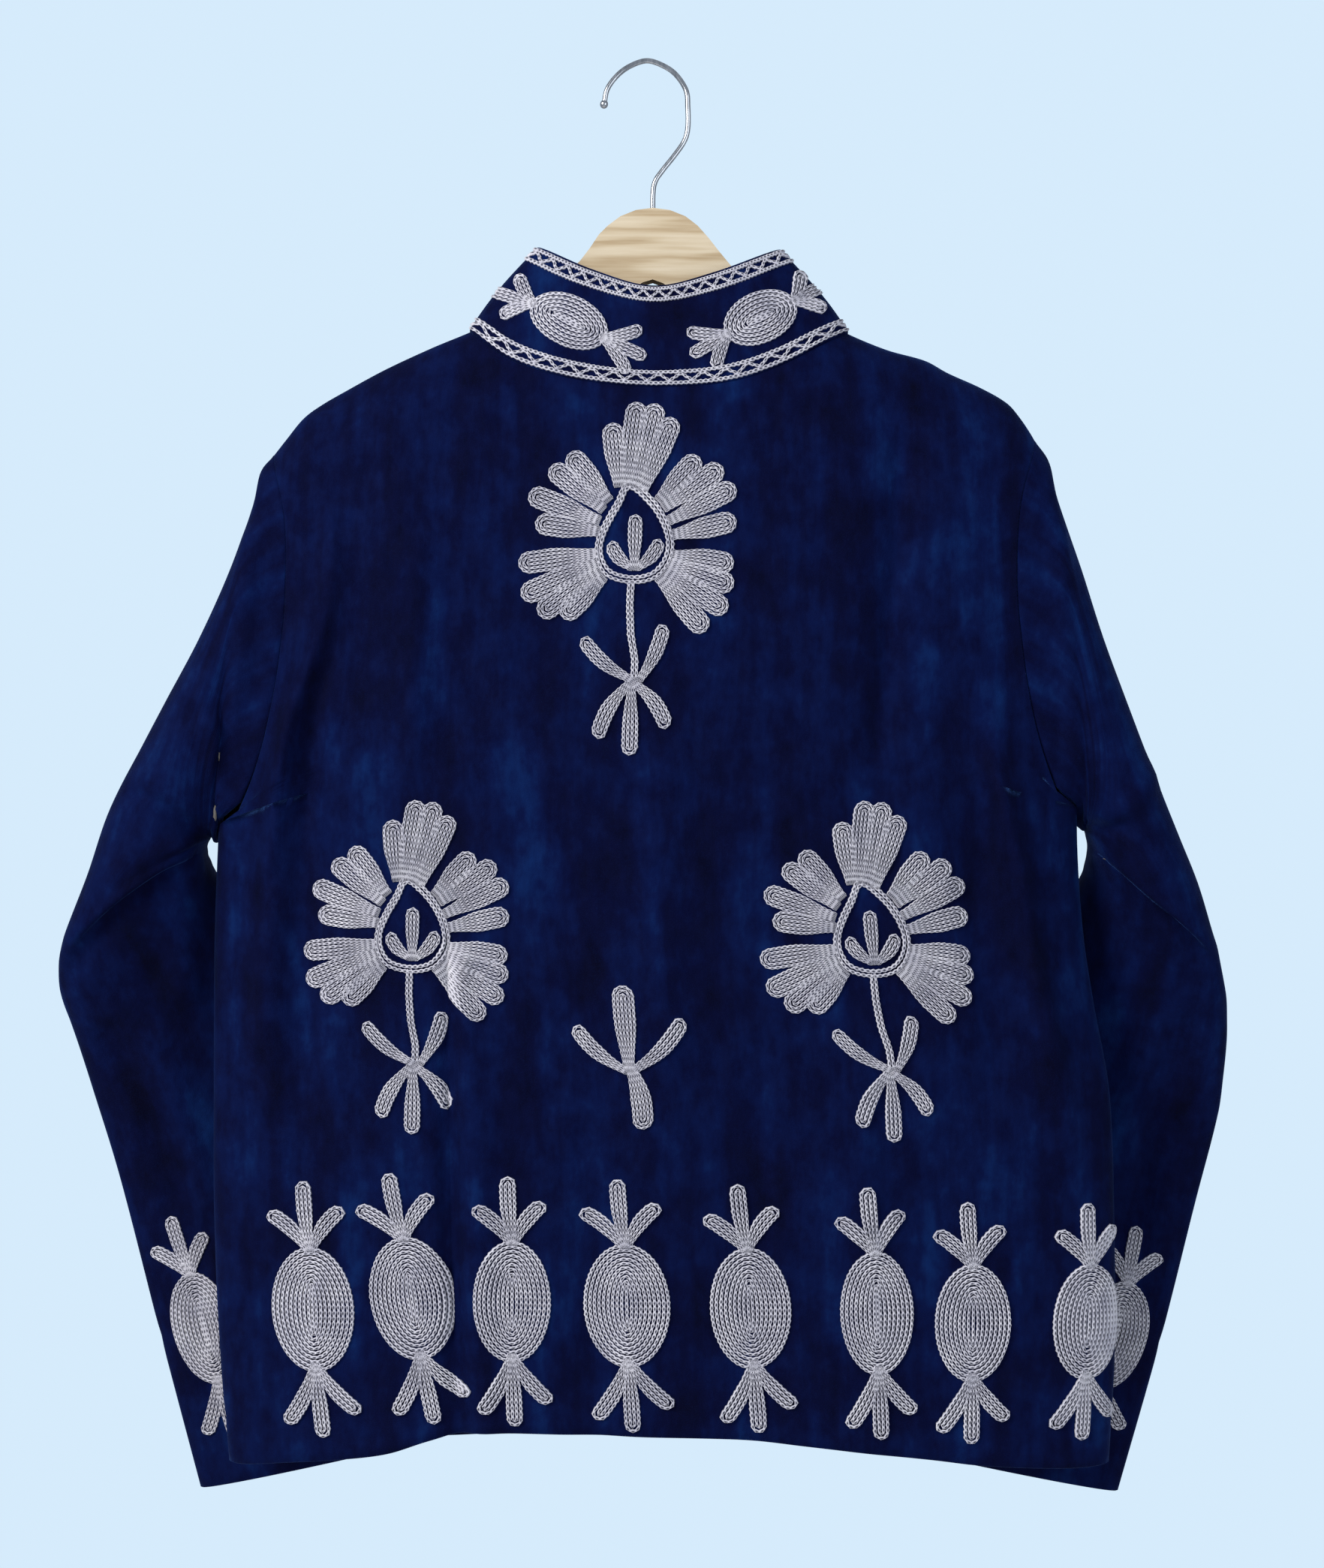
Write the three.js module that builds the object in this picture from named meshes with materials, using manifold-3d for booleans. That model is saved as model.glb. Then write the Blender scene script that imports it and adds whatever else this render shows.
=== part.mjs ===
// A velvet jacket with wool embroidery, hung on a wooden hanger.
// Millimetres, +Z up, origin inside the top of the hanger's hook.
// The jacket's back faces -Y, so the wearer's right side is on +X.
import * as THREE from 'three';
import { mergeVertices } from 'three/addons/utils/BufferGeometryUtils.js';
import Module from 'manifold-3d';

const wasm = await Module();
wasm.setup();

// Driving sizes
const WALL = 2;
const SLEEVE_WALL = 1.5;
const SEAM = 0.3;
const SQUARENESS = 2.7;
const SHOULDER_ROUND = 45;
const SIDE_WRAP = 0.08;
const FRONT_GAP = 26;
const SIDE_ROWS = 10;
const ARMHOLE_ROWS = 10;
const COLLAR_ROWS = 4;
const TUCK_LEAN = 0.4;
const ELBOW_RING = 14;
const ELBOW_GAP = 0.12;
const MOTIF_THICK = 1.7;
const WIRE_RADIUS = 1.5;
const WOOD_THICK = 12;

// Each table names its columns once
function table(names, rows) {
  const keys = names.split(' ');
  return rows.map((row) => Object.fromEntries(keys.map((key, i) => [key, row[i]])));
}

// The jacket's body by height: its left and right sides and its depths
const BODY = table('z left right back front', [
  [-830, -236, 262, 33, 20],
  [-740, -244, 267.5, 34, 21],
  [-657, -247.6, 267.2, 35, 22],
  [-588, -247.8, 264.4, 36, 22],
  [-538, -247.6, 255.5, 36, 22],
  [-498, -247.2, 249.5, 36, 22],
  [-450, -245.5, 246.2, 36, 22],
  [-400, -243, 246, 36, 22],
  [-300, -241, 246, 35, 22],
  [-250, -240, 247, 32, 21],
  [-200, -240, 249, 26, 20],
  [-150, -240, 250, 18, 18],
  [-100, -240, 250, 16, 16],
]);

// The line of the shoulders, with the part that the neck takes away
const RIDGE = table('x z', [
  [-232, -246], [-215, -226.6], [-206.6, -216], [-196.7, -203.8], [-186.8, -196.3],
  [-172, -187.7], [-149.8, -175.6], [-122.7, -163], [-101.5, -154.2], [-50, -131],
  [8, -112], [65, -131], [115.2, -155.2], [137.4, -164.3], [159.5, -170.6], [171.9, -177.4],
  [191.7, -186.4], [206.4, -195.1], [213.7, -203.6], [220.2, -213.4], [226, -224], [242, -243],
]);

// The neck seam between the two neck points, on the back and on the fronts
const NECK_LEFT = -101.5;
const NECK_RIGHT = 115.2;
const BACK_NECK = table('x z', [
  [-101.5, -154.2], [-79.4, -171.8], [-52.6, -181.9], [-23.3, -187.2], [8.6, -189.1],
  [46.7, -186.1], [76, -176.5], [103, -161.6], [115.2, -155.2],
]);
const FRONT_NECK = table('x z', [
  [-101.5, -154.2], [-84, -180], [-60, -205], [-34, -222], [-6, -230],
  [22, -230], [50, -222], [74, -205], [98, -180], [115.2, -155.2],
]);

// The hem's height across the back and across the fronts
const BACK_HEM = table('x z', [
  [-250, -799], [-235.7, -798], [-213, -795.5], [-183, -792.9], [-153.8, -788.9], [-129.3, -781.2],
  [-110, -776.8], [-47.3, -777.2], [-6.5, -778.5], [41.4, -779.7], [67, -782], [100.6, -785.6],
  [157.3, -792.1], [187.1, -796], [238, -799.4], [268, -799.5],
]);
const FRONT_HEM = table('x z', [
  [-250, -799], [-180, -794], [-100, -789], [7, -787], [110, -789], [190, -795], [268, -799.5],
]);

// The armholes from the underarm to the shoulder, on the back and on the fronts
const ARMPIT = { left: -452, right: -446 };
const ARMHOLE = table('height back front', [
  [0.10, 0.947, 0.930],
  [0.18, 0.918, 0.880],
  [0.27, 0.893, 0.845],
  [0.38, 0.872, 0.820],
  [0.49, 0.858, 0.806],
  [0.60, 0.848, 0.800],
  [0.71, 0.847, 0.806],
  [0.81, 0.851, 0.824],
  [0.88, 0.862, 0.846],
  [0.95, 0.880, 0.874],
  [1.00, 0.891, 0.891],
]);

// The folds of the back: a line from top to bottom, half width and height
const FOLDS = table('top_x top_z low_x low_z width height', [
  [-178, -300, -206, -400, 10, 6],
  [-206, -400, -218, -560, 11, 6],
  [-190, -392, -194, -600, 12, -5],
  [140, -240, 131, -400, 16, -5],
  [196, -392, 222, -530, 10, 5],
  [222, -530, 238, -610, 10, 4],
  [176, -400, 196, -560, 13, -4],
  [-110, -590, -104, -785, 8, -6],
  [-96, -590, -92, -785, 10, 4],
  [8, -420, 10, -600, 22, 3],
  [-140, -260, -138, -420, 14, 3],
  [116, -560, 124, -760, 18, 3],
  [60, -600, 66, -785, 16, -3],
  [-30, -640, -26, -780, 14, -3],
]);

// Each sleeve by its rings: the outer and the inner end, how far the ring bulges to the
// back and to the front, and how far its back is tucked up under the elbow's fold
const SLEEVE = 'outer_x outer_z outer_y inner_x inner_z inner_y back front tuck';
const LEFT_SLEEVE = table(SLEEVE, [
  [-223, -250, 0, -248, -446, 9, 29, 20, 0],
  [-237, -289, 0, -249.5, -444, 9, 31, 23, 0],
  [-255, -329, 0, -250.5, -443, 9, 32, 25, 0],
  [-275, -366, 1, -251.5, -443, 8.5, 32, 26, 0],
  [-293, -400, 2, -252, -443, 8.5, 31, 27, 0],
  [-308, -430, 4, -252.5, -443.5, 8.5, 30, 28, 0],
  [-320, -465, 5, -253, -444.5, 8.5, 30, 29, 0],
  [-333, -498, 6, -254, -446, 9, 28, 30, 5],
  [-336, -507, 9, -255, -448.5, 11, 30, 30, 4],
  [-338, -514, 12, -255, -451, 13, 30.5, 29, 9],
  [-339, -521, 15, -255, -454, 15, 31.5, 28, 22],
  [-339.6, -527, 18, -254, -457, 18, 31.5, 26, 27],
  [-339.6, -533, 21, -253, -461, 21, 31.5, 25, 26],
  [-338, -541, 24, -250, -467, 25, 31, 24, 15],
  [-335, -551, 27, -242, -478, 30, 28, 22, 7],
  [-331, -566, 31, -228, -494, 35, 24, 20, 2],
  [-325, -589, 36, -206, -520, 40, 19, 18, 0],
  [-310, -645, 44, -152, -602, 45, 14, 16, 0],
  [-286, -740, 46, -120, -702, 46, 14, 15, 0],
  [-263, -827, 46, -97, -790, 46, 13, 14, 0],
]);
const RIGHT_SLEEVE = table(SLEEVE, [
  [233, -248, 0, 251, -439, 9, 29, 20, 0],
  [247, -288, 0, 251.5, -438, 9, 31, 23, 0],
  [260, -329, 0, 252, -437.5, 9, 32, 25, 0],
  [275, -370, 1, 252, -438, 8.5, 32, 26, 0],
  [290, -409, 2, 252.5, -438.5, 8.5, 31, 27, 0],
  [304, -443, 4, 253, -439.5, 8.5, 30, 28, 0],
  [315, -470, 5, 253.5, -441, 8.5, 30, 29, 0],
  [324, -499, 6, 254, -443, 9, 28, 30, -4],
  [327, -507, 9, 255, -446, 11, 30, 30, -6],
  [329, -514, 12, 255.5, -449, 13, 30.5, 29, -1],
  [331, -521, 15, 255.5, -452, 15, 31.5, 28, 12],
  [333, -528, 18, 255.5, -455, 18, 31.5, 26, 18],
  [335, -537, 21, 255, -459, 21, 31.5, 25, 18],
  [336, -548, 24, 254, -465, 25, 31, 24, 11],
  [336.6, -562, 27, 249, -475, 30, 28, 22, 6],
  [335.8, -582, 31, 238, -490, 36, 24, 20, 2],
  [334, -605, 36, 218, -515, 41, 19, 18, 0],
  [322, -660, 44, 163, -600, 46, 14, 16, 0],
  [302, -741, 46, 134, -702, 46, 14, 15, 0],
  [277, -829, 46, 110, -794, 46, 13, 14, 0],
]);

// The collar's top edge: how much it narrows towards the middle, and its heights
const COLLAR = { centre: 6.9, top_reach: 69, back_reach: 15, front_reach: 13 };
const COLLAR_TOP = table('x z', [
  [-62.4, -106.2], [-30.7, -121.1], [3.5, -130.5], [37.7, -122.8], [76.2, -107.5],
]);
const COLLAR_FRONT_TOP = table('x z', [
  [-62.4, -106.2], [-48, -135], [-26, -160], [-6, -172],
  [20, -172], [40, -160], [61, -135], [76.2, -107.5],
]);

// The hanger's wood: the upper outline of its middle and the lower outline from the right
const WOOD_UNDER_CLOTH = 3.5;
const WOOD_ENDS = { left: -199, right: 208 };
const WOOD_TOP = table('x z', [
  [-104, -171.5], [-84, -162], [-62, -142], [-46, -126], [-35.9, -115.9], [-30.2, -108.5], [-25.3, -101.1],
  [-20.4, -96.2], [-13.8, -91.3], [-5.6, -88], [3.4, -86.8], [12.4, -88], [20.6, -91.3],
  [27, -96.2], [32.9, -102.8], [38.6, -110.1], [46.7, -119.9], [68, -142], [94, -163],
  [116, -173.5],
]);
const WOOD_LOW = table('x z', [
  [207, -231], [200, -233], [170, -219], [120, -196], [80, -176], [46, -154],
  [28, -138], [18, -129.9], [10.5, -124.5], [3.4, -121.9], [-3.6, -124], [-8.9, -127.3],
  [-20, -136], [-38, -152], [-72, -174], [-112, -194], [-160, -217], [-192, -235], [-198, -233],
]);

// The centre line of the hook's wire from its tip to the wood
const HOOK = table('x z', [
  [-24.6, -23.4], [-22.6, -14.5], [-16.6, -6.5], [-9, -1.2], [0, 1.5], [9, -1.2], [16.6, -6.5],
  [22.4, -15.5], [23.4, -25], [23.4, -37], [21.3, -44.6], [15.7, -52.8], [9, -61.2],
  [4.8, -67.5], [3.4, -75], [3.4, -86.2],
]);

// The embroidery's raised motifs: where each one's centre is, its size and its turn
const POMEGRANATE = 'x z half_width half_height tilt';
const BACK_POMEGRANATES = table(POMEGRANATE, [
  [-188, -708.5, 23, 71, 0],
  [-131.7, -701.3, 23, 70, 6],
  [-75.4, -702.6, 21, 69, -2],
  [-11.1, -705, 23.5, 70, 0],
  [58.2, -706.8, 22, 69, 2],
  [129, -709, 20, 70, 1],
  [183.3, -715.6, 21, 67, -1],
  [250, -717, 21, 66, -3],
]);
const FRONT_POMEGRANATES = table(POMEGRANATE, [
  [72, -712, 22, 70, 0],
  [165, -716, 22, 69, 3],
]);
const CUFF_POMEGRANATES = table(POMEGRANATE + ' faces', [
  [-259, -734, 20, 68, 12, -1],
]);
const COLLAR_POMEGRANATES = table(POMEGRANATE, [
  [-43, -151, 15, 47, 62],
  [63, -149, 15, 44, -62],
]);
const BACK_FLOWERS = table('x z size', [
  [-8.2, -273.5, 1],
  [-132.8, -493, 0.94],
  [124, -495, 0.96],
]);
const FRONT_FLOWER = { x: 118, z: -480, size: 0.95 };
const SPRIG = { x: -10.8, z: -560, tilt: 0 };

// The fingers of a pomegranate in shares of its half sizes: start, tip and bend
const POMEGRANATE_FINGERS = table('start_x start_z tip_x tip_z bend', [
  [0, 0.45, -0.95, 0.75, -0.10],
  [0, 0.45, -0.15, 1.00, 0.03],
  [0, 0.45, 0.75, 0.80, 0.10],
  [0, -0.42, -0.75, -0.90, 0.10],
  [0, -0.42, 0.08, -1.00, 0.00],
  [0, -0.42, 0.95, -0.80, -0.10],
]);

// A flower's petals: direction in degrees, reach, and half width at the tips
const PETALS = table('direction reach spread', [
  [90, 71, 21],
  [30, 63, 21],
  [-33, 67, 21],
  [213, 67, 21],
  [150, 63, 21],
]);
const PETAL_BASE = 18;
const PETAL_LOBES = 3;

// A flower's other fingers: the stem, the leaves and the foot
const FLOWER_FINGERS = table('start_x start_z tip_x tip_z bend width', [
  [0, -22, 1, -78, 0, 5],
  [2, -80, -26, -57, 3, 7],
  [2, -80, 19, -51, -2, 7],
  [0, -76, -19, -113, -3, 8],
  [0, -76, -1, -123, 0, 8],
  [0, -76, 20, -109, 3, 8],
]);
const SPRIG_FINGERS = table('start_x start_z tip_x tip_z bend width', [
  [0, -14, 0, 35, 0, 13],
  [0, -14, -28, 12, 3, 9],
  [0, -14, 32, 16, -3, 9],
  [0, -10, 6, -46, 2, 12],
]);

// Reads a column between two rows, with a smooth change of slope
function read(rows, key, at, column) {
  const last = rows.length - 1;
  if (at <= rows[0][key]) return rows[0][column];
  if (at >= rows[last][key]) return rows[last][column];
  let i = 0;
  while (rows[i + 1][key] < at) i += 1;
  const slope = (a, b) => (rows[b][column] - rows[a][column]) / (rows[b][key] - rows[a][key]);
  const step = rows[i + 1][key] - rows[i][key];
  const t = (at - rows[i][key]) / step;
  const startSlope = slope(Math.max(i - 1, 0), i + 1) * step;
  const endSlope = slope(i, Math.min(i + 2, last)) * step;
  const a = rows[i][column];
  const b = rows[i + 1][column];
  return a * (2 * t ** 3 - 3 * t ** 2 + 1) + b * (3 * t ** 2 - 2 * t ** 3)
    + startSlope * (t ** 3 - 2 * t ** 2 + t) + endSlope * (t ** 3 - t ** 2);
}

const mix = (a, b, t) => a + (b - a) * t;
const clamp = (value, low, high) => Math.min(Math.max(value, low), high);
const point = (x, y, z) => new THREE.Vector3(x, y, z);

// A quarter of the body's section, spaced evenly along its line
function quarterSection() {
  const rows = [{ length: 0, x: 0, y: 1 }];
  const count = 300;
  for (let i = 1; i <= count; i += 1) {
    const angle = (Math.PI / 2) * (i / count);
    const x = Math.sin(angle) ** (2 / SQUARENESS);
    const y = Math.max(Math.cos(angle), 0) ** (2 / SQUARENESS);
    const before = rows[i - 1];
    const length = before.length + Math.hypot(250 * (x - before.x), 35 * (y - before.y));
    rows.push({ length, x, y });
  }
  return rows.map((row) => ({ c: row.length / rows[count].length, x: row.x, y: row.y }));
}

const QUARTER = quarterSection();

function straight(rows, key, at, column) {
  let low = 0;
  let high = rows.length - 1;
  while (high - low > 1) {
    const middle = (low + high) >> 1;
    if (rows[middle][key] <= at) low = middle;
    else high = middle;
  }
  const span = rows[high][key] - rows[low][key];
  return mix(rows[low][column], rows[high][column], clamp((at - rows[low][key]) / span, 0, 1));
}

// Around the body, c is 0 at the centre back, 1 at the side and 2 at the centre front
function section(c) {
  const size = Math.abs(c);
  const quarter = size <= 1 ? size : 2 - size;
  const x = Math.sign(c) * straight(QUARTER, 'c', quarter, 'x');
  const y = straight(QUARTER, 'c', quarter, 'y');
  return { x, y: size <= 1 ? y : -y };
}

// How much a fold lifts the cloth at a place of the back
function foldLift(x, z) {
  let lift = 0;
  for (const fold of FOLDS) {
    const along = clamp((fold.top_z - z) / (fold.top_z - fold.low_z), -0.3, 1.3);
    const centre = mix(fold.top_x, fold.low_x, clamp(along, 0, 1));
    const ends = Math.sin(Math.PI * clamp((along + 0.3) / 1.6, 0, 1)) ** 0.7;
    lift += fold.height * ends * Math.exp(-(((x - centre) / fold.width) ** 2));
  }
  return lift;
}

// A point of the body's cloth; inset moves it inwards from the outer face
function bodyPoint(c, z, inset) {
  const left = read(BODY, 'z', z, 'left') + inset;
  const right = read(BODY, 'z', z, 'right') - inset;
  const around = section(c);
  const x = (left + right) / 2 + around.x * (right - left) / 2;
  const below = read(RIDGE, 'x', x, 'z') - z;
  const top = clamp(1 - below / SHOULDER_ROUND, 0, 1);
  const fall = clamp((below - inset + inset * top) / (SHOULDER_ROUND - inset), 0, 1);
  const arch = Math.sqrt(Math.max(0, 1 - (1 - fall) ** 2));
  const isBack = around.y > 0 || (around.y === 0 && Math.abs(c) <= 1);
  const depth = read(BODY, 'z', z, isBack ? 'back' : 'front') - inset;
  let y = -around.y * depth * arch;
  if (isBack) y -= foldLift(x, z) * clamp(around.y * 1.6, 0, 1) * arch;
  if (below < SHOULDER_ROUND) y += (isBack ? -SEAM : SEAM) / 2;
  return point(x, y, z - inset * top);
}

// The c of a place given by its share of the body's half width
const QUARTER_BY_X = QUARTER.map((row) => ({ c: row.c, x: row.x }));
const turnOf = (share) => straight(QUARTER_BY_X, 'x', share, 'c');

function turnAt(x, z, isBack) {
  const left = read(BODY, 'z', z, 'left');
  const right = read(BODY, 'z', z, 'right');
  const share = (x - (left + right) / 2) / ((right - left) / 2);
  const turn = turnOf(Math.abs(share));
  return Math.sign(share) * (isBack ? turn : 2 - turn);
}

// The edge that a panel shares with the side seam and the armhole, row by row
function sideEdge(side, isBack) {
  const sign = side === 'left' ? -1 : 1;
  const armpit = ARMPIT[side];
  const hem = read(BACK_HEM, 'x', sign < 0 ? -237 : 264, 'z');
  const shoulder = sign < 0 ? -226.6 : -224;
  const edge = [];
  const seamTurn = 1 + SIDE_WRAP + (isBack ? 0 : SEAM / 270);
  for (let j = 0; j <= SIDE_ROWS; j += 1) {
    edge.push({ c: sign * seamTurn, z: mix(hem, armpit, j / SIDE_ROWS) });
  }
  for (let j = 1; j <= ARMHOLE_ROWS; j += 1) {
    const t = (1 - Math.cos((Math.PI * j) / ARMHOLE_ROWS)) / 2;
    const z = mix(armpit, shoulder, t);
    const turn = turnOf(read(ARMHOLE, 'height', Math.max(t, 0.1), isBack ? 'back' : 'front'));
    const open = isBack ? turn : 2 - turn;
    const blend = clamp(t / 0.1, 0, 1) ** 0.75;
    edge.push({ c: sign * mix(seamTurn, open, blend), z });
  }
  return edge;
}

// The top edge of a panel: the shoulder line outside the neck, the neck seam inside it
function topHeight(c, neck) {
  let z = -190;
  for (let i = 0; i < 6; i += 1) {
    const left = read(BODY, 'z', z, 'left');
    const right = read(BODY, 'z', z, 'right');
    const x = (left + right) / 2 + section(c).x * (right - left) / 2;
    const isNeck = x > NECK_LEFT && x < NECK_RIGHT;
    z = isNeck ? read(neck, 'x', x, 'z') : read(RIDGE, 'x', x, 'z');
  }
  return z;
}

function hemHeight(c, hem) {
  const x = 7 + section(c).x * 255;
  return read(hem, 'x', x, 'z');
}

// Shares from 0 to 1 in a number of steps, closer together at the start by a power
function shares(count, power) {
  return Array.from({ length: count + 1 }, (_, i) => (i / count) ** power);
}

// A panel between two edges: rows of c and z, filled in from its four sides
function panelRows(start, end, columns, hem, neck) {
  const last = start.length - 1;
  const startSpan = start[last].z - start[0].z;
  const endSpan = end[last].z - end[0].z;
  return start.map((from, j) => {
    const to = end[j];
    const vStart = (from.z - start[0].z) / startSpan;
    const vEnd = (to.z - end[0].z) / endSpan;
    return columns.map((u) => {
      const v = mix(vStart, vEnd, u);
      const low = hemHeight(mix(start[0].c, end[0].c, u), hem);
      const high = topHeight(mix(start[last].c, end[last].c, u), neck);
      const startOff = from.z - mix(start[0].z, start[last].z, v);
      const endOff = to.z - mix(end[0].z, end[last].z, v);
      const lowOff = low - mix(start[0].z, end[0].z, u);
      const highOff = high - mix(start[last].z, end[last].z, u);
      const z = mix(mix(start[0].z, end[0].z, u), mix(start[last].z, end[last].z, u), v)
        + mix(startOff, endOff, u) + mix(lowOff, highOff, v);
      return { c: mix(from.c, to.c, u), z };
    });
  });
}

const facesOf = (rows, inset) => rows.map((row) => row.map((p) => bodyPoint(p.c, p.z, inset)));

// A closed solid between two grids of points; ring joins the last column to the first
function sheetSolid(outer, inner, ring) {
  const rows = outer.length;
  const columns = outer[0].length;
  const positions = [];
  const indices = [];
  for (const grid of [outer, inner]) {
    for (const row of grid) {
      for (const p of row) positions.push(p.x, p.y, p.z);
    }
  }
  const at = (layer, j, i) => (layer * rows + j) * columns + (i % columns);
  const quad = (a, b, c, d) => indices.push(a, b, c, a, c, d);
  const across = ring ? columns : columns - 1;
  for (let j = 0; j < rows - 1; j += 1) {
    for (let i = 0; i < across; i += 1) {
      quad(at(0, j, i), at(0, j, i + 1), at(0, j + 1, i + 1), at(0, j + 1, i));
      quad(at(1, j, i), at(1, j + 1, i), at(1, j + 1, i + 1), at(1, j, i + 1));
    }
  }
  for (let i = 0; i < across; i += 1) {
    quad(at(0, 0, i + 1), at(0, 0, i), at(1, 0, i), at(1, 0, i + 1));
    quad(at(0, rows - 1, i), at(0, rows - 1, i + 1), at(1, rows - 1, i + 1), at(1, rows - 1, i));
  }
  if (!ring) {
    const end = columns - 1;
    for (let j = 0; j < rows - 1; j += 1) {
      quad(at(0, j, 0), at(0, j + 1, 0), at(1, j + 1, 0), at(1, j, 0));
      quad(at(0, j + 1, end), at(0, j, end), at(1, j, end), at(1, j + 1, end));
    }
  }
  return facingOut(positions, indices);
}

function facingOut(positions, indices) {
  let volume = 0;
  const corner = (i) => point(positions[3 * i], positions[3 * i + 1], positions[3 * i + 2]);
  for (let i = 0; i < indices.length; i += 3) {
    const a = corner(indices[i]);
    const b = corner(indices[i + 1]);
    const c = corner(indices[i + 2]);
    volume += a.dot(b.cross(c));
  }
  if (volume < 0) indices.reverse();
  const geometry = new THREE.BufferGeometry();
  geometry.setAttribute('position', new THREE.Float32BufferAttribute(positions, 3));
  geometry.setIndex(indices);
  return geometry;
}

// The outward direction at each point of a grid
function directions(grid, ring) {
  const rows = grid.length;
  const columns = grid[0].length;
  const wrap = (i) => (i + columns) % columns;
  return grid.map((row, j) => row.map((p, i) => {
    const before = ring ? row[wrap(i - 1)] : row[Math.max(i - 1, 0)];
    const after = ring ? row[wrap(i + 1)] : row[Math.min(i + 1, columns - 1)];
    const along = after.clone().sub(before);
    const up = grid[Math.min(j + 1, rows - 1)][i].clone().sub(grid[Math.max(j - 1, 0)][i]);
    return along.cross(up).normalize();
  }));
}

function moved(grid, ways, distance) {
  return grid.map((row, j) => row.map((p, i) => p.clone().addScaledVector(ways[j][i], distance)));
}

// Panels
const backLeft = sideEdge('left', true);
const backRight = sideEdge('right', true);
const lastRow = backLeft.length - 1;

function backColumns() {
  const leftTurn = backLeft[lastRow].c;
  const span = backRight[lastRow].c - leftTurn;
  const neckLeft = (turnAt(NECK_LEFT, -154.2, true) - leftTurn) / span;
  const neckRight = (turnAt(NECK_RIGHT, -155.2, true) - leftTurn) / span;
  const left = shares(12, 1.35).map((s) => s * neckLeft);
  const middle = shares(14, 1).map((s) => mix(neckLeft, neckRight, s)).slice(1);
  const right = shares(12, 1.35).map((s) => 1 - s * (1 - neckRight)).reverse().slice(1);
  return [...left, ...middle, ...right];
}

const backRows = panelRows(backLeft, backRight, backColumns(), BACK_HEM, BACK_NECK);
const backOuter = facesOf(backRows, 0);
const backInner = facesOf(backRows, WALL);

// A front runs from its side seam to its free edge, which hangs straight
function frontPanel(side) {
  const edge = sideEdge(side, false);
  const sign = side === 'left' ? -1 : 1;
  const free = edge.map((row, j) => {
    const t = (row.z - edge[0].z) / (edge[lastRow].z - edge[0].z);
    const x = 7 + sign * FRONT_GAP / 2;
    const low = read(FRONT_HEM, 'x', x, 'z');
    const high = read(FRONT_NECK, 'x', x, 'z');
    const z = mix(low, high, t);
    return { c: turnAt(x, z, false), z };
  });
  const neckTurn = turnAt(sign < 0 ? NECK_LEFT : NECK_RIGHT, -155, false);
  const share = (neckTurn - edge[lastRow].c) / (free[lastRow].c - edge[lastRow].c);
  const near = shares(8, 1.3).map((s) => s * share);
  const far = shares(5, 1).map((s) => mix(share, 1, s)).slice(1);
  const rows = panelRows(edge, free, [...near, ...far], FRONT_HEM, FRONT_NECK);
  return { rows, outer: facesOf(rows, 0), inner: facesOf(rows, WALL), neckColumn: 8 };
}

const frontLeft = frontPanel('left');
const frontRight = frontPanel('right');

// Sleeves: the first ring follows the armhole, the others come from the table
function pastEdge(grid, j, column, next) {
  const p = grid[j][column];
  const along = grid[Math.min(j + 1, lastRow)][column].clone().sub(grid[j - 1][column]).normalize();
  const away = p.clone().sub(grid[j][next]);
  away.addScaledVector(along, -away.dot(along)).normalize();
  const underarm = Math.exp((SIDE_ROWS - j) / 3);
  return p.clone().addScaledVector(away, SEAM + 0.4).add(point(0, 0, 9 * underarm));
}

function armholeRing(backGrid, frontGrid, backColumn, backNext, towards) {
  const ring = [];
  for (let j = SIDE_ROWS; j <= lastRow; j += 1) ring.push(pastEdge(backGrid, j, backColumn, backNext));
  for (let j = lastRow - 1; j > SIDE_ROWS; j -= 1) ring.push(pastEdge(frontGrid, j, 0, 1));
  const pit = backGrid[SIDE_ROWS][backColumn].clone().add(frontGrid[SIDE_ROWS][0]);
  ring[0] = pit.multiplyScalar(0.5).add(point(0, 0, 7));
  const tip = backGrid[lastRow][backColumn].clone().add(frontGrid[lastRow][0]);
  ring[ARMHOLE_ROWS] = tip.multiplyScalar(0.5).add(point(towards * 0.5, 0, 0));
  return ring;
}

function sleeveRing(row) {
  const outer = point(row.outer_x, row.outer_y, row.outer_z);
  const inner = point(row.inner_x, row.inner_y, row.inner_z);
  const up = point(-Math.sign(row.outer_x) * TUCK_LEAN, 0, 1).normalize();
  const count = 2 * ARMHOLE_ROWS;
  return Array.from({ length: count }, (_, i) => {
    const angle = (Math.PI * i) / ARMHOLE_ROWS;
    const across = (1 - Math.cos(angle)) / 2;
    const bulge = Math.sin(angle);
    const p = inner.clone().lerp(outer, across);
    p.y -= bulge > 0 ? row.back * bulge ** 0.85 : 0;
    p.y += bulge < 0 ? row.front * (-bulge) ** 0.85 : 0;
    return bulge > 0 ? p.addScaledVector(up, row.tuck * bulge ** 2) : p;
  });
}

function sleeveGrids(rows, front, side) {
  const sign = side === 'left' ? -1 : 1;
  const column = sign < 0 ? 0 : backOuter[0].length - 1;
  const next = sign < 0 ? 1 : column - 1;
  const outerStart = armholeRing(backOuter, front.outer, column, next, sign);
  const innerStart = armholeRing(backInner, front.inner, column, next, sign);
  const middle = outerStart.map((p, i) => p.clone().lerp(innerStart[i], 0.5));
  const first = sleeveRing(rows[0]);
  const leaving = middle.map((p, i) => p.clone().lerp(first[i], 0.45).add(point(2.6 * sign, 0, 2.1)));
  const grid = [middle, leaving, ...rows.map(sleeveRing)];
  const ways = directions(grid, true);
  const outer = moved(grid, ways, -sign * SLEEVE_WALL / 2);
  const inner = moved(grid, ways, sign * SLEEVE_WALL / 2);
  outer[0] = outerStart;
  inner[0] = innerStart;
  return { grid, ways, outer, inner };
}

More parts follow.
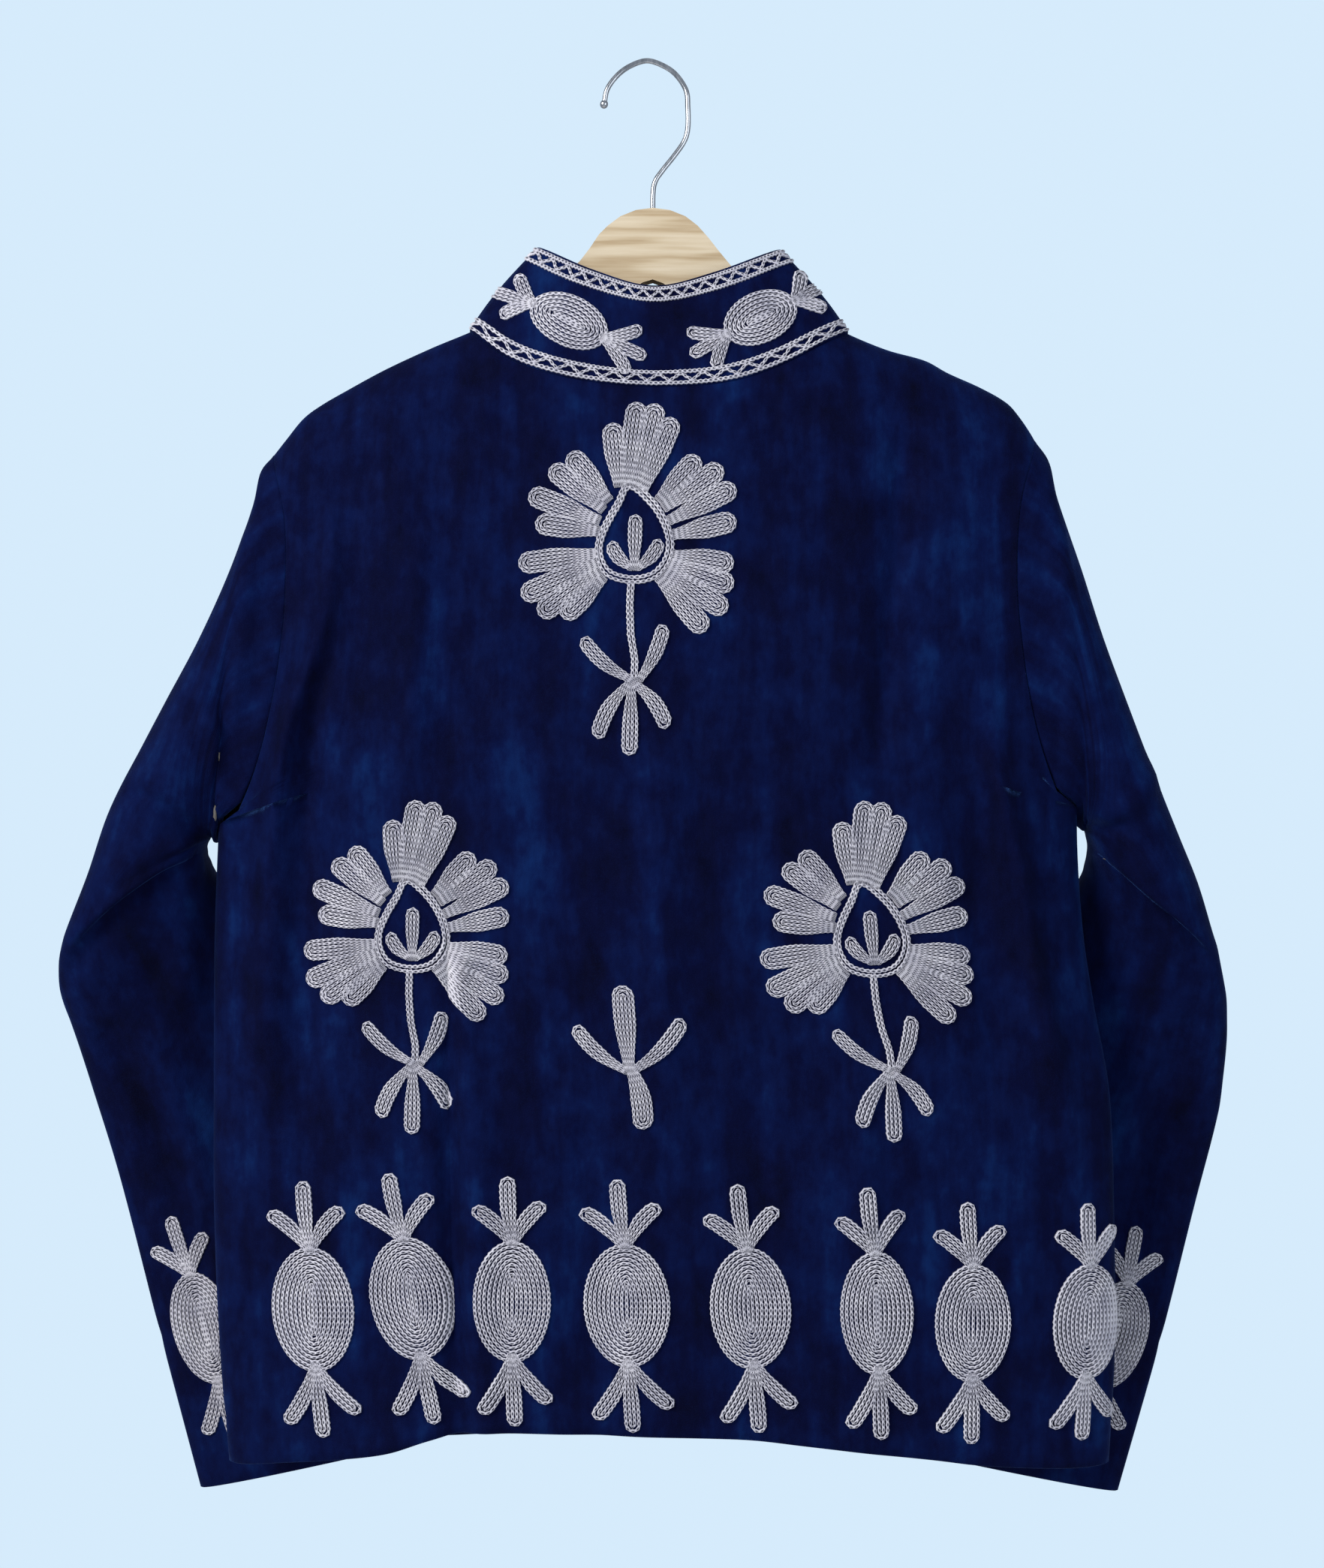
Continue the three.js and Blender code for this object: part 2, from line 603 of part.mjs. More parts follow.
const sleeveLeft = sleeveGrids(LEFT_SLEEVE, frontLeft, 'left');
const sleeveRight = sleeveGrids(RIGHT_SLEEVE, frontRight, 'right');

// Each sleeve is divided under the elbow's fold, where the two halves all but touch
function upperSleeve(sleeve) {
  const end = ELBOW_RING + 1;
  return sheetSolid(sleeve.outer.slice(0, end), sleeve.inner.slice(0, end), true);
}

function forearm(sleeve) {
  const [outer, inner] = [sleeve.outer, sleeve.inner].map((grid) => {
    const next = grid[ELBOW_RING + 1];
    const start = grid[ELBOW_RING].map((p, i) => p.clone().lerp(next[i], ELBOW_GAP));
    return [start, ...grid.slice(ELBOW_RING + 1)];
  });
  return sheetSolid(outer, inner, true);
}

// The collar stands on the neck seam and leans in to its top edge
function neckLine(backGrid, leftGrid, rightGrid) {
  const leftTop = leftGrid[lastRow].slice(frontLeft.neckColumn + 1).reverse();
  const rightTop = rightGrid[lastRow].slice(frontRight.neckColumn + 1);
  const backTop = backGrid[lastRow].slice(12, 27);
  return [...leftTop, ...backTop, ...rightTop].map((p) => {
    const side = Math.min(Math.abs(p.x - COLLAR.centre) / 108, 1);
    return p.clone().add(point(0, 0, SEAM + 0.2 + 0.8 * side ** 3));
  });
}

function collarGrid() {
  const outerLine = neckLine(backOuter, frontLeft.outer, frontRight.outer);
  const innerLine = neckLine(backInner, frontLeft.inner, frontRight.inner);
  const base = outerLine.map((p, i) => p.clone().lerp(innerLine[i], 0.5));
  const leftCount = frontLeft.outer[0].length - frontLeft.neckColumn - 1;
  const top = base.map((p, i) => {
    const isBack = i >= leftCount && i < leftCount + 15;
    const share = clamp((p.x - COLLAR.centre) / 108.4, -1, 1);
    const x = COLLAR.centre + share * COLLAR.top_reach;
    const round = Math.sqrt(Math.max(0, 1 - share ** 2));
    const reach = isBack ? -COLLAR.back_reach : COLLAR.front_reach;
    const z = read(isBack ? COLLAR_TOP : COLLAR_FRONT_TOP, 'x', x, 'z');
    return point(x, reach * round ** 0.8, z);
  });
  const rows = [];
  for (let j = 0; j <= COLLAR_ROWS; j += 1) {
    const t = j / COLLAR_ROWS;
    const bow = 2.5 * Math.sin(Math.PI * t);
    rows.push(base.map((p, i) => {
      const q = p.clone().lerp(top[i], t);
      const away = point(q.x - COLLAR.centre, 0, 0).multiplyScalar(1 / 100);
      away.y = Math.sign(q.y || 1) * Math.sqrt(Math.max(0, 1 - away.x ** 2)) * 0.6;
      return q.addScaledVector(away, bow);
    }));
  }
  const ways = directions(rows, false);
  const outer = moved(rows, ways, WALL / 2 + 0.1);
  const inner = moved(rows, ways, -WALL / 2 - 0.1);
  outer[0] = outerLine;
  inner[0] = innerLine;
  return { rows, ways, outer, inner };
}

const collar = collarGrid();

// Hanger
function outlineShape(rows) {
  return new THREE.Shape(rows.map((row) => new THREE.Vector2(row.x, row.z)));
}

// Under the shoulders the wood follows the cloth that rests on it
function shoulderTop(from, to) {
  const under = backInner[lastRow].filter((p) => p.x > from && p.x < to);
  return under.map((p) => ({ x: p.x, z: p.z - WOOD_UNDER_CLOTH }));
}

function woodGeometry() {
  const left = shoulderTop(-193, -120);
  const right = shoulderTop(134, 200);
  const leftEnd = { x: WOOD_ENDS.left, z: left[0].z - 17 };
  const rightEnd = { x: WOOD_ENDS.right, z: right[right.length - 1].z - 17 };
  const outline = [leftEnd, ...left, ...WOOD_TOP, ...right, rightEnd, ...WOOD_LOW];
  const bevel = 1.5;
  const depth = WOOD_THICK - 2 * bevel;
  const settings = { depth, bevelThickness: bevel, bevelSize: bevel, bevelOffset: -bevel, bevelSegments: 1 };
  const geometry = new THREE.ExtrudeGeometry(outlineShape(outline), settings);
  geometry.translate(0, 0, -depth / 2);
  geometry.rotateX(Math.PI / 2);
  return geometry;
}

function toManifold(geometry) {
  const plain = new THREE.BufferGeometry();
  plain.setAttribute('position', geometry.getAttribute('position'));
  if (geometry.index) plain.setIndex(geometry.index);
  const merged = mergeVertices(plain, 1e-4);
  const vertProperties = new Float32Array(merged.getAttribute('position').array);
  const triVerts = new Uint32Array(merged.index.array);
  return new wasm.Manifold(new wasm.Mesh({ numProp: 3, vertProperties, triVerts }));
}

function toGeometry(solid) {
  const mesh = solid.getMesh();
  const geometry = new THREE.BufferGeometry();
  geometry.setAttribute('position', new THREE.Float32BufferAttribute(mesh.vertProperties, 3));
  geometry.setIndex([...mesh.triVerts]);
  return geometry;
}

// A finger of embroidery: a bent stroke with a rounded tip, as an outline
function fingerOutline(f, width) {
  const length = Math.hypot(f.tip_x - f.start_x, f.tip_z - f.start_z);
  const along = [(f.tip_x - f.start_x) / length, (f.tip_z - f.start_z) / length];
  const place = (share, across) => {
    const bow = f.bend * Math.sin(Math.PI * share);
    const x = f.start_x + along[0] * length * share - along[1] * (across * width + bow);
    const z = f.start_z + along[1] * length * share + along[0] * (across * width + bow);
    return [x, z];
  };
  return [
    place(0, 0.34), place(0.6, 0.5), place(1, 0.3),
    place(1, -0.3), place(0.6, -0.5), place(0, -0.34),
  ];
}

function ovalOutline(halfWidth, halfHeight, count, point0 = 1) {
  return Array.from({ length: count }, (_, i) => {
    const angle = (2 * Math.PI * i) / count;
    const narrow = 1 - (1 - point0) * Math.max(Math.sin(angle), 0) ** 2;
    return [halfWidth * narrow * Math.cos(angle), halfHeight * Math.sin(angle)];
  });
}

function petalOutline(petal) {
  const angle = THREE.MathUtils.degToRad(petal.direction);
  const outline = [[PETAL_BASE, 4], [petal.reach * 0.7, petal.spread]];
  for (let i = 0; i < PETAL_LOBES; i += 1) {
    const side = petal.spread * (1 - (2 * i + 1) / PETAL_LOBES);
    const reach = petal.reach * (1 - 0.1 * (side / petal.spread) ** 2);
    outline.push([reach, side]);
    if (i < PETAL_LOBES - 1) outline.push([reach * 0.86, side - petal.spread / PETAL_LOBES]);
  }
  outline.push([petal.reach * 0.7, -petal.spread], [PETAL_BASE, -4]);
  return outline.map(([out, side]) => [
    out * Math.cos(angle) - side * Math.sin(angle),
    out * Math.sin(angle) + side * Math.cos(angle),
  ]);
}

// Outlines pushed through the cloth along Y, from one depth to another, and joined
function cutter(outlines, place, from, to) {
  const angle = THREE.MathUtils.degToRad(place.tilt || 0);
  const size = place.size || 1;
  let solid = null;
  for (const outline of outlines) {
    const points = outline.map(([x, z]) => new THREE.Vector2(
      place.x + size * (x * Math.cos(angle) - z * Math.sin(angle)),
      place.z + size * (x * Math.sin(angle) + z * Math.cos(angle)),
    ));
    const geometry = new THREE.ExtrudeGeometry(new THREE.Shape(points), { depth: to - from, bevelEnabled: false });
    geometry.rotateX(Math.PI / 2);
    geometry.translate(0, to, 0);
    const prism = toManifold(geometry);
    solid = solid ? solid.add(prism) : prism;
  }
  return solid;
}

function pomegranateOutlines(p) {
  const scaled = POMEGRANATE_FINGERS.map((f) => ({
    start_x: f.start_x * p.half_width,
    start_z: f.start_z * p.half_height,
    tip_x: f.tip_x * p.half_width,
    tip_z: f.tip_z * p.half_height,
    bend: f.bend * p.half_width,
  }));
  const fingers = scaled.map((f) => fingerOutline(f, 0.4 * p.half_width));
  return [ovalOutline(p.half_width, p.half_height * 0.5, 12), ...fingers];
}

// The space just over a cloth, where its embroidery lies
const overPanel = (rows) => toManifold(
  sheetSolid(facesOf(rows, -SEAM - MOTIF_THICK), facesOf(rows, -SEAM), false),
);

function largestBody(solid) {
  const bodies = solid.decompose();
  const largest = Math.max(...bodies.map((body) => body.volume()));
  return bodies.find((body) => body.volume() === largest);
}

function motif(name, space, solid) {
  return part(name, toGeometry(largestBody(space.intersect(solid)).setTolerance(0.12)), 'wool');
}

function flowerCutter(place, from, to) {
  const fingers = FLOWER_FINGERS.map((f) => fingerOutline(f, f.width));
  return cutter([ovalOutline(19, 25, 10, 0.6), ...PETALS.map(petalOutline), ...fingers], place, from, to);
}

function hookGeometry() {
  const path = new THREE.CatmullRomCurve3(HOOK.map((row) => point(row.x, 0, row.z)), false, 'centripetal');
  const round = new THREE.Shape();
  const sides = 8;
  for (let i = 0; i < sides; i += 1) {
    const angle = (2 * Math.PI * i) / sides;
    const x = WIRE_RADIUS * Math.cos(angle);
    const y = WIRE_RADIUS * Math.sin(angle);
    if (i === 0) round.moveTo(x, y);
    else round.lineTo(x, y);
  }
  const wire = new THREE.ExtrudeGeometry(round, { steps: 40, extrudePath: path, bevelEnabled: false });
  const ball = new THREE.SphereGeometry(2.3, 8, 6).translate(HOOK[0].x, 0, HOOK[0].z);
  return toGeometry(toManifold(wire).add(toManifold(ball)));
}

const MATERIALS = {
  velvet: { color: 0x0a1a4a, roughness: 0.9, metalness: 0 },
  wool: { color: 0xa9a7b4, roughness: 0.95, metalness: 0 },
  wood: { color: 0xd8c29c, roughness: 0.55, metalness: 0 },
  chrome: { color: 0xc8ccd2, roughness: 0.2, metalness: 1 },
};

function part(name, geometry, slot) {
  const mesh = new THREE.Mesh(geometry, new THREE.MeshStandardMaterial(MATERIALS[slot]));
  mesh.name = name;
  return mesh;
}

const jacket = new THREE.Group();
jacket.name = 'jacket_on_hanger';
jacket.add(part('back', sheetSolid(backOuter, backInner, false), 'velvet'));
jacket.add(part('front_left', sheetSolid(frontLeft.outer, frontLeft.inner, false), 'velvet'));
jacket.add(part('front_right', sheetSolid(frontRight.outer, frontRight.inner, false), 'velvet'));
jacket.add(part('sleeve_left', upperSleeve(sleeveLeft), 'velvet'));
jacket.add(part('sleeve_left_forearm', forearm(sleeveLeft), 'velvet'));
jacket.add(part('sleeve_right', upperSleeve(sleeveRight), 'velvet'));
jacket.add(part('sleeve_right_forearm', forearm(sleeveRight), 'velvet'));
jacket.add(part('collar', sheetSolid(collar.outer, collar.inner, false), 'velvet'));
jacket.add(part('hanger_wood', woodGeometry(), 'wood'));
jacket.add(part('hanger_hook', hookGeometry(), 'chrome'));

// Embroidery on the back
const overBack = overPanel(backRows);
BACK_FLOWERS.forEach((place, i) => {
  jacket.add(motif(`motif_back_flower_${i + 1}`, overBack, flowerCutter(place, -90, -6)));
});
BACK_POMEGRANATES.forEach((place, i) => {
  const solid = cutter(pomegranateOutlines(place), place, -90, 0);
  jacket.add(motif(`motif_back_pomegranate_${i + 1}`, overBack, solid));
});
const sprigOutlines = SPRIG_FINGERS.map((f) => fingerOutline(f, f.width));
jacket.add(motif('motif_back_sprig', overBack, cutter(sprigOutlines, SPRIG, -90, -6)));

// Embroidery on the fronts, the same on both sides of the opening
[['left', frontLeft, -1], ['right', frontRight, 1]].forEach(([side, front, sign]) => {
  const space = overPanel(front.rows);
  const mirrored = (place) => ({ ...place, x: 7 + sign * place.x, tilt: sign * (place.tilt || 0) });
  const flower = flowerCutter(mirrored(FRONT_FLOWER), 6, 90);
  jacket.add(motif(`motif_front_${side}_flower`, space, flower));
  FRONT_POMEGRANATES.forEach((place, i) => {
    const solid = cutter(pomegranateOutlines(place), mirrored(place), 0, 90);
    jacket.add(motif(`motif_front_${side}_pomegranate_${i + 1}`, space, solid));
  });
});

// Embroidery round the cuffs
[['left', sleeveLeft, -1], ['right', sleeveRight, 1]].forEach(([side, sleeve, sign]) => {
  const low = moved(sleeve.grid, sleeve.ways, -sign * (SLEEVE_WALL / 2 + SEAM)).slice(-5);
  const high = moved(sleeve.grid, sleeve.ways, -sign * (SLEEVE_WALL / 2 + SEAM + MOTIF_THICK)).slice(-5);
  const space = toManifold(sheetSolid(high, low, true));
  CUFF_POMEGRANATES.forEach((place, i) => {
    const shift = sign < 0 ? place : { ...place, x: 14 - place.x, z: place.z - 2, tilt: -place.tilt };
    const range = place.faces < 0 ? [0, 46] : [46, 100];
    const solid = cutter(pomegranateOutlines(place), shift, ...range);
    jacket.add(motif(`motif_cuff_${side}_pomegranate_${i + 1}`, space, solid));
  });
});

// Embroidery on the collar's back
const collarLow = moved(collar.rows, collar.ways, WALL / 2 + 0.1 + SEAM);
const collarHigh = moved(collar.rows, collar.ways, WALL / 2 + 0.1 + SEAM + MOTIF_THICK);
const overCollar = toManifold(sheetSolid(collarHigh, collarLow, false));
COLLAR_POMEGRANATES.forEach((place, i) => {
  const solid = cutter(pomegranateOutlines(place), place, -90, -2);
  jacket.add(motif(`motif_collar_pomegranate_${i + 1}`, overCollar, solid));
});

export default jacket;
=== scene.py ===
"""A velvet jacket with wool chain-stitch embroidery, hung on a wooden hanger with a wire hook.

Sizes are in millimetres until a mesh is made. +Z is up and the origin is inside the top of the
hook. The jacket's back faces -Y, so the wearer's right side is on +X.
"""
import math

import bpy
import numpy as np
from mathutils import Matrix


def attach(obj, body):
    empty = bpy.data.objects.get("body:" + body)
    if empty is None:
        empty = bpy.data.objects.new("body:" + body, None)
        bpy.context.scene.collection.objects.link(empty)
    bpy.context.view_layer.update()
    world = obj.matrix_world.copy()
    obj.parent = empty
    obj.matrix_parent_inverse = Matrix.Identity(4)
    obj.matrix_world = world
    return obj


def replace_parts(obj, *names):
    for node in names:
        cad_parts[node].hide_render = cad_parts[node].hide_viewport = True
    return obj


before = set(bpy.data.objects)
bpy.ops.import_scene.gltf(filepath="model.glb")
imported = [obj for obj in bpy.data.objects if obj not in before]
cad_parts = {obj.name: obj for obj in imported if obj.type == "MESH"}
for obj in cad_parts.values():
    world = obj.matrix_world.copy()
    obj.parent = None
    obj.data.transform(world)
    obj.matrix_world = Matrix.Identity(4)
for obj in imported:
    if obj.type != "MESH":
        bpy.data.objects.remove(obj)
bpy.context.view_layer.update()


def table(names, rows):
    """A table with named columns, each column an array."""
    return dict(zip(names.split(), np.array(rows, float).T))


# Driving sizes of the cloth: its walls, its seams and its turned hem
WALL = 2.0
SLEEVE_WALL = 1.5
RIM = 0.55
SEAM = 0.3
NECK_LIFT = 0.2
HEM_TURN = 24.0
HEM_PULL = 0.5

# Driving sizes of the body and the sleeves; SQUARENESS is the section's superellipse power,
# SIDE_WRAP how far the back reaches past the side, and TUCK_LEAN the slant of the elbow's tuck
BODY_CENTRE = 7.0
BODY_HALF = 250
BODY_DEPTH = 35
HEM_HALF = 255
SQUARENESS = 2.7
SHOULDER_ROUND = 45.0
SIDE_WRAP = 0.08
SIDE_SEAM_TURN = 270
FRONT_GAP = 26.0
SLEEVE_LENGTH = 640
TUCK_LEAN = 0.4

# Driving sizes of the hanger
WIRE_RADIUS = 1.5
KNOB_RADIUS = 2.3
WOOD_THICK = 12.0

# How finely the cloth is divided
SIDE_ROWS = 74
ARMHOLE_ROWS = 44
SLEEVE_ROWS = 190
COLLAR_ROWS = 16
COLLAR_FRONT_COLUMNS = 36
COLLAR_BACK_COLUMNS = 90

# The jacket's body by height: its left and right sides and its depths
BODY = table("z left right back front", [
    [-830, -236, 262, 33, 20], [-740, -244, 267.5, 34, 21], [-657, -247.6, 267.2, 35, 22],
    [-588, -247.8, 264.4, 36, 22], [-538, -247.6, 255.5, 36, 22], [-498, -247.2, 249.5, 36, 22],
    [-450, -245.5, 246.2, 36, 22], [-400, -243, 246, 36, 22], [-300, -241, 246, 35, 22],
    [-250, -240, 247, 32, 21], [-200, -240, 249, 26, 20], [-150, -240, 250, 18, 18],
    [-100, -240, 250, 16, 16],
])

# The line of the shoulders, with the part that the neck takes away
RIDGE = table("x z", [
    [-232, -246], [-215, -226.6], [-206.6, -216], [-196.7, -203.8], [-186.8, -196.3],
    [-172, -187.7], [-149.8, -175.6], [-122.7, -163], [-101.5, -154.2], [-50, -131], [8, -112],
    [65, -131], [115.2, -155.2], [137.4, -164.3], [159.5, -170.6], [171.9, -177.4],
    [191.7, -186.4], [206.4, -195.1], [213.7, -203.6], [220.2, -213.4], [226, -224], [242, -243],
])

# The neck seam between the two neck points, on the back and on the fronts
NECK_LEFT = -101.5
NECK_RIGHT = 115.2
NECK_LEFT_Z = -154.2
NECK_RIGHT_Z = -155.2
NECK_FRONT_Z = -155.0
BACK_NECK = table("x z", [
    [-101.5, -154.2], [-79.4, -171.8], [-52.6, -181.9], [-23.3, -187.2], [8.6, -189.1],
    [46.7, -186.1], [76, -176.5], [103, -161.6], [115.2, -155.2],
])
FRONT_NECK = table("x z", [
    [-101.5, -154.2], [-84, -180], [-60, -205], [-34, -222], [-6, -230], [22, -230], [50, -222],
    [74, -205], [98, -180], [115.2, -155.2],
])

# The hem's height across the back and across the fronts
BACK_HEM = table("x z", [
    [-250, -799], [-235.7, -798], [-213, -795.5], [-183, -792.9], [-153.8, -788.9],
    [-129.3, -781.2], [-110, -776.8], [-47.3, -777.2], [-6.5, -778.5], [41.4, -779.7], [67, -782],
    [100.6, -785.6], [157.3, -792.1], [187.1, -796], [238, -799.4], [268, -799.5],
])
FRONT_HEM = table("x z", [
    [-250, -799], [-180, -794], [-100, -789], [7, -787], [110, -789], [190, -795], [268, -799.5],
])

# The armholes from the underarm to the shoulder, on the back and on the fronts
SIDES = {"left": -1, "right": 1}
HEM_CORNER = {"left": -237.0, "right": 264.0}
ARMPIT = {"left": -452.0, "right": -446.0}
SHOULDER = {"left": -226.6, "right": -224.0}
ARMHOLE = table("height back front", [
    [0.10, 0.947, 0.930], [0.18, 0.918, 0.880], [0.27, 0.893, 0.845], [0.38, 0.872, 0.820],
    [0.49, 0.858, 0.806], [0.60, 0.848, 0.800], [0.71, 0.847, 0.806], [0.81, 0.851, 0.824],
    [0.88, 0.862, 0.846], [0.95, 0.880, 0.874], [1.00, 0.891, 0.891],
])

# Folds of the back and of the fronts: a line from top to bottom, half width and height
FOLD = "top_x top_z low_x low_z width height"
BACK_FOLDS = table(FOLD, [
    [-178, -300, -206, -400, 10, 6], [-206, -400, -218, -560, 11, 6],
    [-190, -392, -194, -600, 12, -5], [140, -240, 131, -400, 16, -5],
    [196, -392, 222, -530, 10, 5], [222, -530, 238, -610, 10, 4], [176, -400, 196, -560, 13, -4],
    [-110, -590, -104, -785, 8, -6], [-96, -590, -92, -785, 10, 4], [8, -420, 10, -600, 22, 3],
    [-140, -260, -138, -420, 14, 3], [116, -560, 124, -760, 18, 3], [60, -600, 66, -785, 16, -3],
    [-30, -640, -26, -780, 14, -3],
])
FRONT_FOLDS = table(FOLD, [
    [-150, -260, -164, -430, 15, 3], [-176, -430, -170, -640, 14, -3],
    [-120, -560, -126, -790, 15, 2.5], [-60, -300, -66, -520, 17, -2.5],
    [166, -250, 182, -420, 14, 3], [190, -430, 182, -650, 15, -3], [132, -540, 138, -790, 16, 2.5],
    [76, -290, 80, -500, 16, -2.5],
])

# Each sleeve by its rings: the outer and the inner end, how far the ring bulges to the
# back and to the front, and how far its back is tucked up under the elbow's fold
SLEEVE = "outer_x outer_z outer_y inner_x inner_z inner_y back front tuck"
LEFT_SLEEVE = table(SLEEVE, [
    [-223, -250, 0, -248, -446, 9, 29, 20, 0], [-237, -289, 0, -249.5, -444, 9, 31, 23, 0],
    [-255, -329, 0, -250.5, -443, 9, 32, 25, 0], [-275, -366, 1, -251.5, -443, 8.5, 32, 26, 0],
    [-293, -400, 2, -252, -443, 8.5, 31, 27, 0], [-308, -430, 4, -252.5, -443.5, 8.5, 30, 28, 0],
    [-320, -465, 5, -253, -444.5, 8.5, 30, 29, 0], [-333, -498, 6, -254, -446, 9, 28, 30, 5],
    [-336, -507, 9, -255, -448.5, 11, 30, 30, 4], [-338, -514, 12, -255, -451, 13, 30.5, 29, 9],
    [-339, -521, 15, -255, -454, 15, 31.5, 28, 22],
    [-339.6, -527, 18, -254, -457, 18, 31.5, 26, 27],
    [-339.6, -533, 21, -253, -461, 21, 31.5, 25, 26], [-338, -541, 24, -250, -467, 25, 31, 24, 15],
    [-335, -551, 27, -242, -478, 30, 28, 22, 7], [-331, -566, 31, -228, -494, 35, 24, 20, 2],
    [-325, -589, 36, -206, -520, 40, 19, 18, 0], [-310, -645, 44, -152, -602, 45, 14, 16, 0],
    [-286, -740, 46, -120, -702, 46, 14, 15, 0], [-263, -827, 46, -97, -790, 46, 13, 14, 0],
])
RIGHT_SLEEVE = table(SLEEVE, [
    [233, -248, 0, 251, -439, 9, 29, 20, 0], [247, -288, 0, 251.5, -438, 9, 31, 23, 0],
    [260, -329, 0, 252, -437.5, 9, 32, 25, 0], [275, -370, 1, 252, -438, 8.5, 32, 26, 0],
    [290, -409, 2, 252.5, -438.5, 8.5, 31, 27, 0], [304, -443, 4, 253, -439.5, 8.5, 30, 28, 0],
    [315, -470, 5, 253.5, -441, 8.5, 30, 29, 0], [324, -499, 6, 254, -443, 9, 28, 30, -4],
    [327, -507, 9, 255, -446, 11, 30, 30, -6], [329, -514, 12, 255.5, -449, 13, 30.5, 29, -1],
    [331, -521, 15, 255.5, -452, 15, 31.5, 28, 12], [333, -528, 18, 255.5, -455, 18, 31.5, 26, 18],
    [335, -537, 21, 255, -459, 21, 31.5, 25, 18], [336, -548, 24, 254, -465, 25, 31, 24, 11],
    [336.6, -562, 27, 249, -475, 30, 28, 22, 6], [335.8, -582, 31, 238, -490, 36, 24, 20, 2],
    [334, -605, 36, 218, -515, 41, 19, 18, 0], [322, -660, 44, 163, -600, 46, 14, 16, 0],
    [302, -741, 46, 134, -702, 46, 14, 15, 0], [277, -829, 46, 110, -794, 46, 13, 14, 0],
])

# Creases of the back and of the sleeves, as seen from the back: a line of three points,
# half width and height
CREASE = "x1 z1 x2 z2 x3 z3 width height"
BACK_CREASES = table(CREASE, [
    [-178, -262, -177, -288, -180, -310, 5, 2.0], [-129, -283, -130, -335, -129, -392, 9, 2.2],
    [9, -406, 9, -470, 10, -562, 12, 1.8], [-111, -502, -111, -632, -107.7, -719, 3.5, -2.6],
    [-102.6, -510, -102.6, -640, -100, -760, 5, 2.4],
    [143.7, -223, 143, -271, 130.7, -392, 7, -2.8],
    [189.5, -392, 189.5, -430, 189.5, -464, 6, -2.6], [192, -396, 211, -464, 218.5, -522, 5, 2.6],
    [218.5, -522, 226.4, -537, 231.9, -568, 5, 2.4],
    [236.5, -459.4, 228, -461, 217.6, -466.5, 3, 1.8],
    [-179.8, -324, -201.7, -379.6, -213.4, -459.4, 5, 2.6],
    [-180, -345, -188, -372, -193, -430, 5, -2.6], [121, -580, 120.7, -613, 122, -660, 9, 1.8],
])
SLEEVE_CREASES = table(CREASE, [
    [-223, -276, -227, -329, -233, -380, 7, 3.0], [-246, -380, -240, -416, -245, -437, 6, 3.5],
    [-290, -418, -275, -424, -252, -440, 5, -3.5], [-262, -452, -267, -480, -267, -528, 9, 3.0],
    [-236, -262, -262, -330, -286, -392, 12, -2.5], [-310, -560, -290, -600, -276, -650, 10, -3.0],
    [-284, -560, -262, -640, -240, -740, 11, 2.5], [-200, -600, -204, -680, -188, -770, 10, -2.0],
    [243, -443, 250, -438, 268, -436, 5, -3.0], [246, -270, 254, -330, 262, -392, 11, -2.5],
    [232, -272, 234, -330, 243, -398, 7, 3.0], [290, -404, 276, -420, 262, -432, 7, 3.0],
    [262, -452, 279, -468, 300, -500, 6, 2.5], [308, -556, 300, -600, 288, -660, 11, -3.0],
    [286, -570, 270, -640, 252, -740, 11, 2.5], [204, -610, 206, -690, 196, -780, 10, -2.0],
])

# The collar's top edge: how much it narrows towards the middle, and its heights
COLLAR_CENTRE = 6.9
NECK_HALF = 108
COLLAR_HALF = 108.4
COLLAR_BOW = 2.5
COLLAR_TOP_REACH = 69.0
COLLAR_BACK_REACH = 15.0
COLLAR_FRONT_REACH = 13.0
COLLAR_TOP = table("x z", [
    [-62.4, -106.2], [-30.7, -121.1], [3.5, -130.5], [37.7, -122.8], [76.2, -107.5],
])
COLLAR_FRONT_TOP = table("x z", [
    [-62.4, -106.2], [-48, -135], [-26, -160], [-6, -172], [20, -172], [40, -160], [61, -135],
    [76.2, -107.5],
])

# The hanger's wood: its outline from the left end over the arch and back underneath
WOOD = table("x z", [
    [-199, -224], [-196, -212], [-186, -202], [-170, -192], [-150, -181.5], [-128, -175],
    [-104, -171.5], [-84, -162], [-62, -142], [-46, -126], [-35.9, -115.9], [-30.2, -108.5],
    [-25.3, -101.1], [-20.4, -96.2], [-13.8, -91.3], [-5.6, -88], [3.4, -86.8], [12.4, -88],
    [20.6, -91.3], [27, -96.2], [32.9, -102.8], [38.6, -110.1], [46.7, -119.9], [68, -142],
    [94, -163], [116, -173.5], [140, -175.5], [160, -180.5], [180, -189], [198, -199], [206, -210],
    [208, -222], [205, -230], [196, -231.5], [170, -219], [120, -196], [80, -176], [46, -154],
    [28, -138], [18, -129.9], [10.5, -124.5], [3.4, -121.9], [-3.6, -124], [-8.9, -127.3],
    [-20, -136], [-38, -152], [-72, -174], [-112, -194], [-160, -217], [-188, -233], [-197, -232],
])

# The centre line of the hook's wire from its tip to the wood
HOOK = table("x z", [
    [-24.6, -23.4], [-22.6, -14.5], [-16.6, -6.5], [-9, -1.2], [0, 1.5], [9, -1.2], [16.6, -6.5],
    [22.4, -15.5], [23.4, -25], [23.4, -37], [21.3, -44.6], [15.7, -52.8], [9, -61.2],
    [4.8, -67.5], [3.4, -75], [3.4, -90],
])

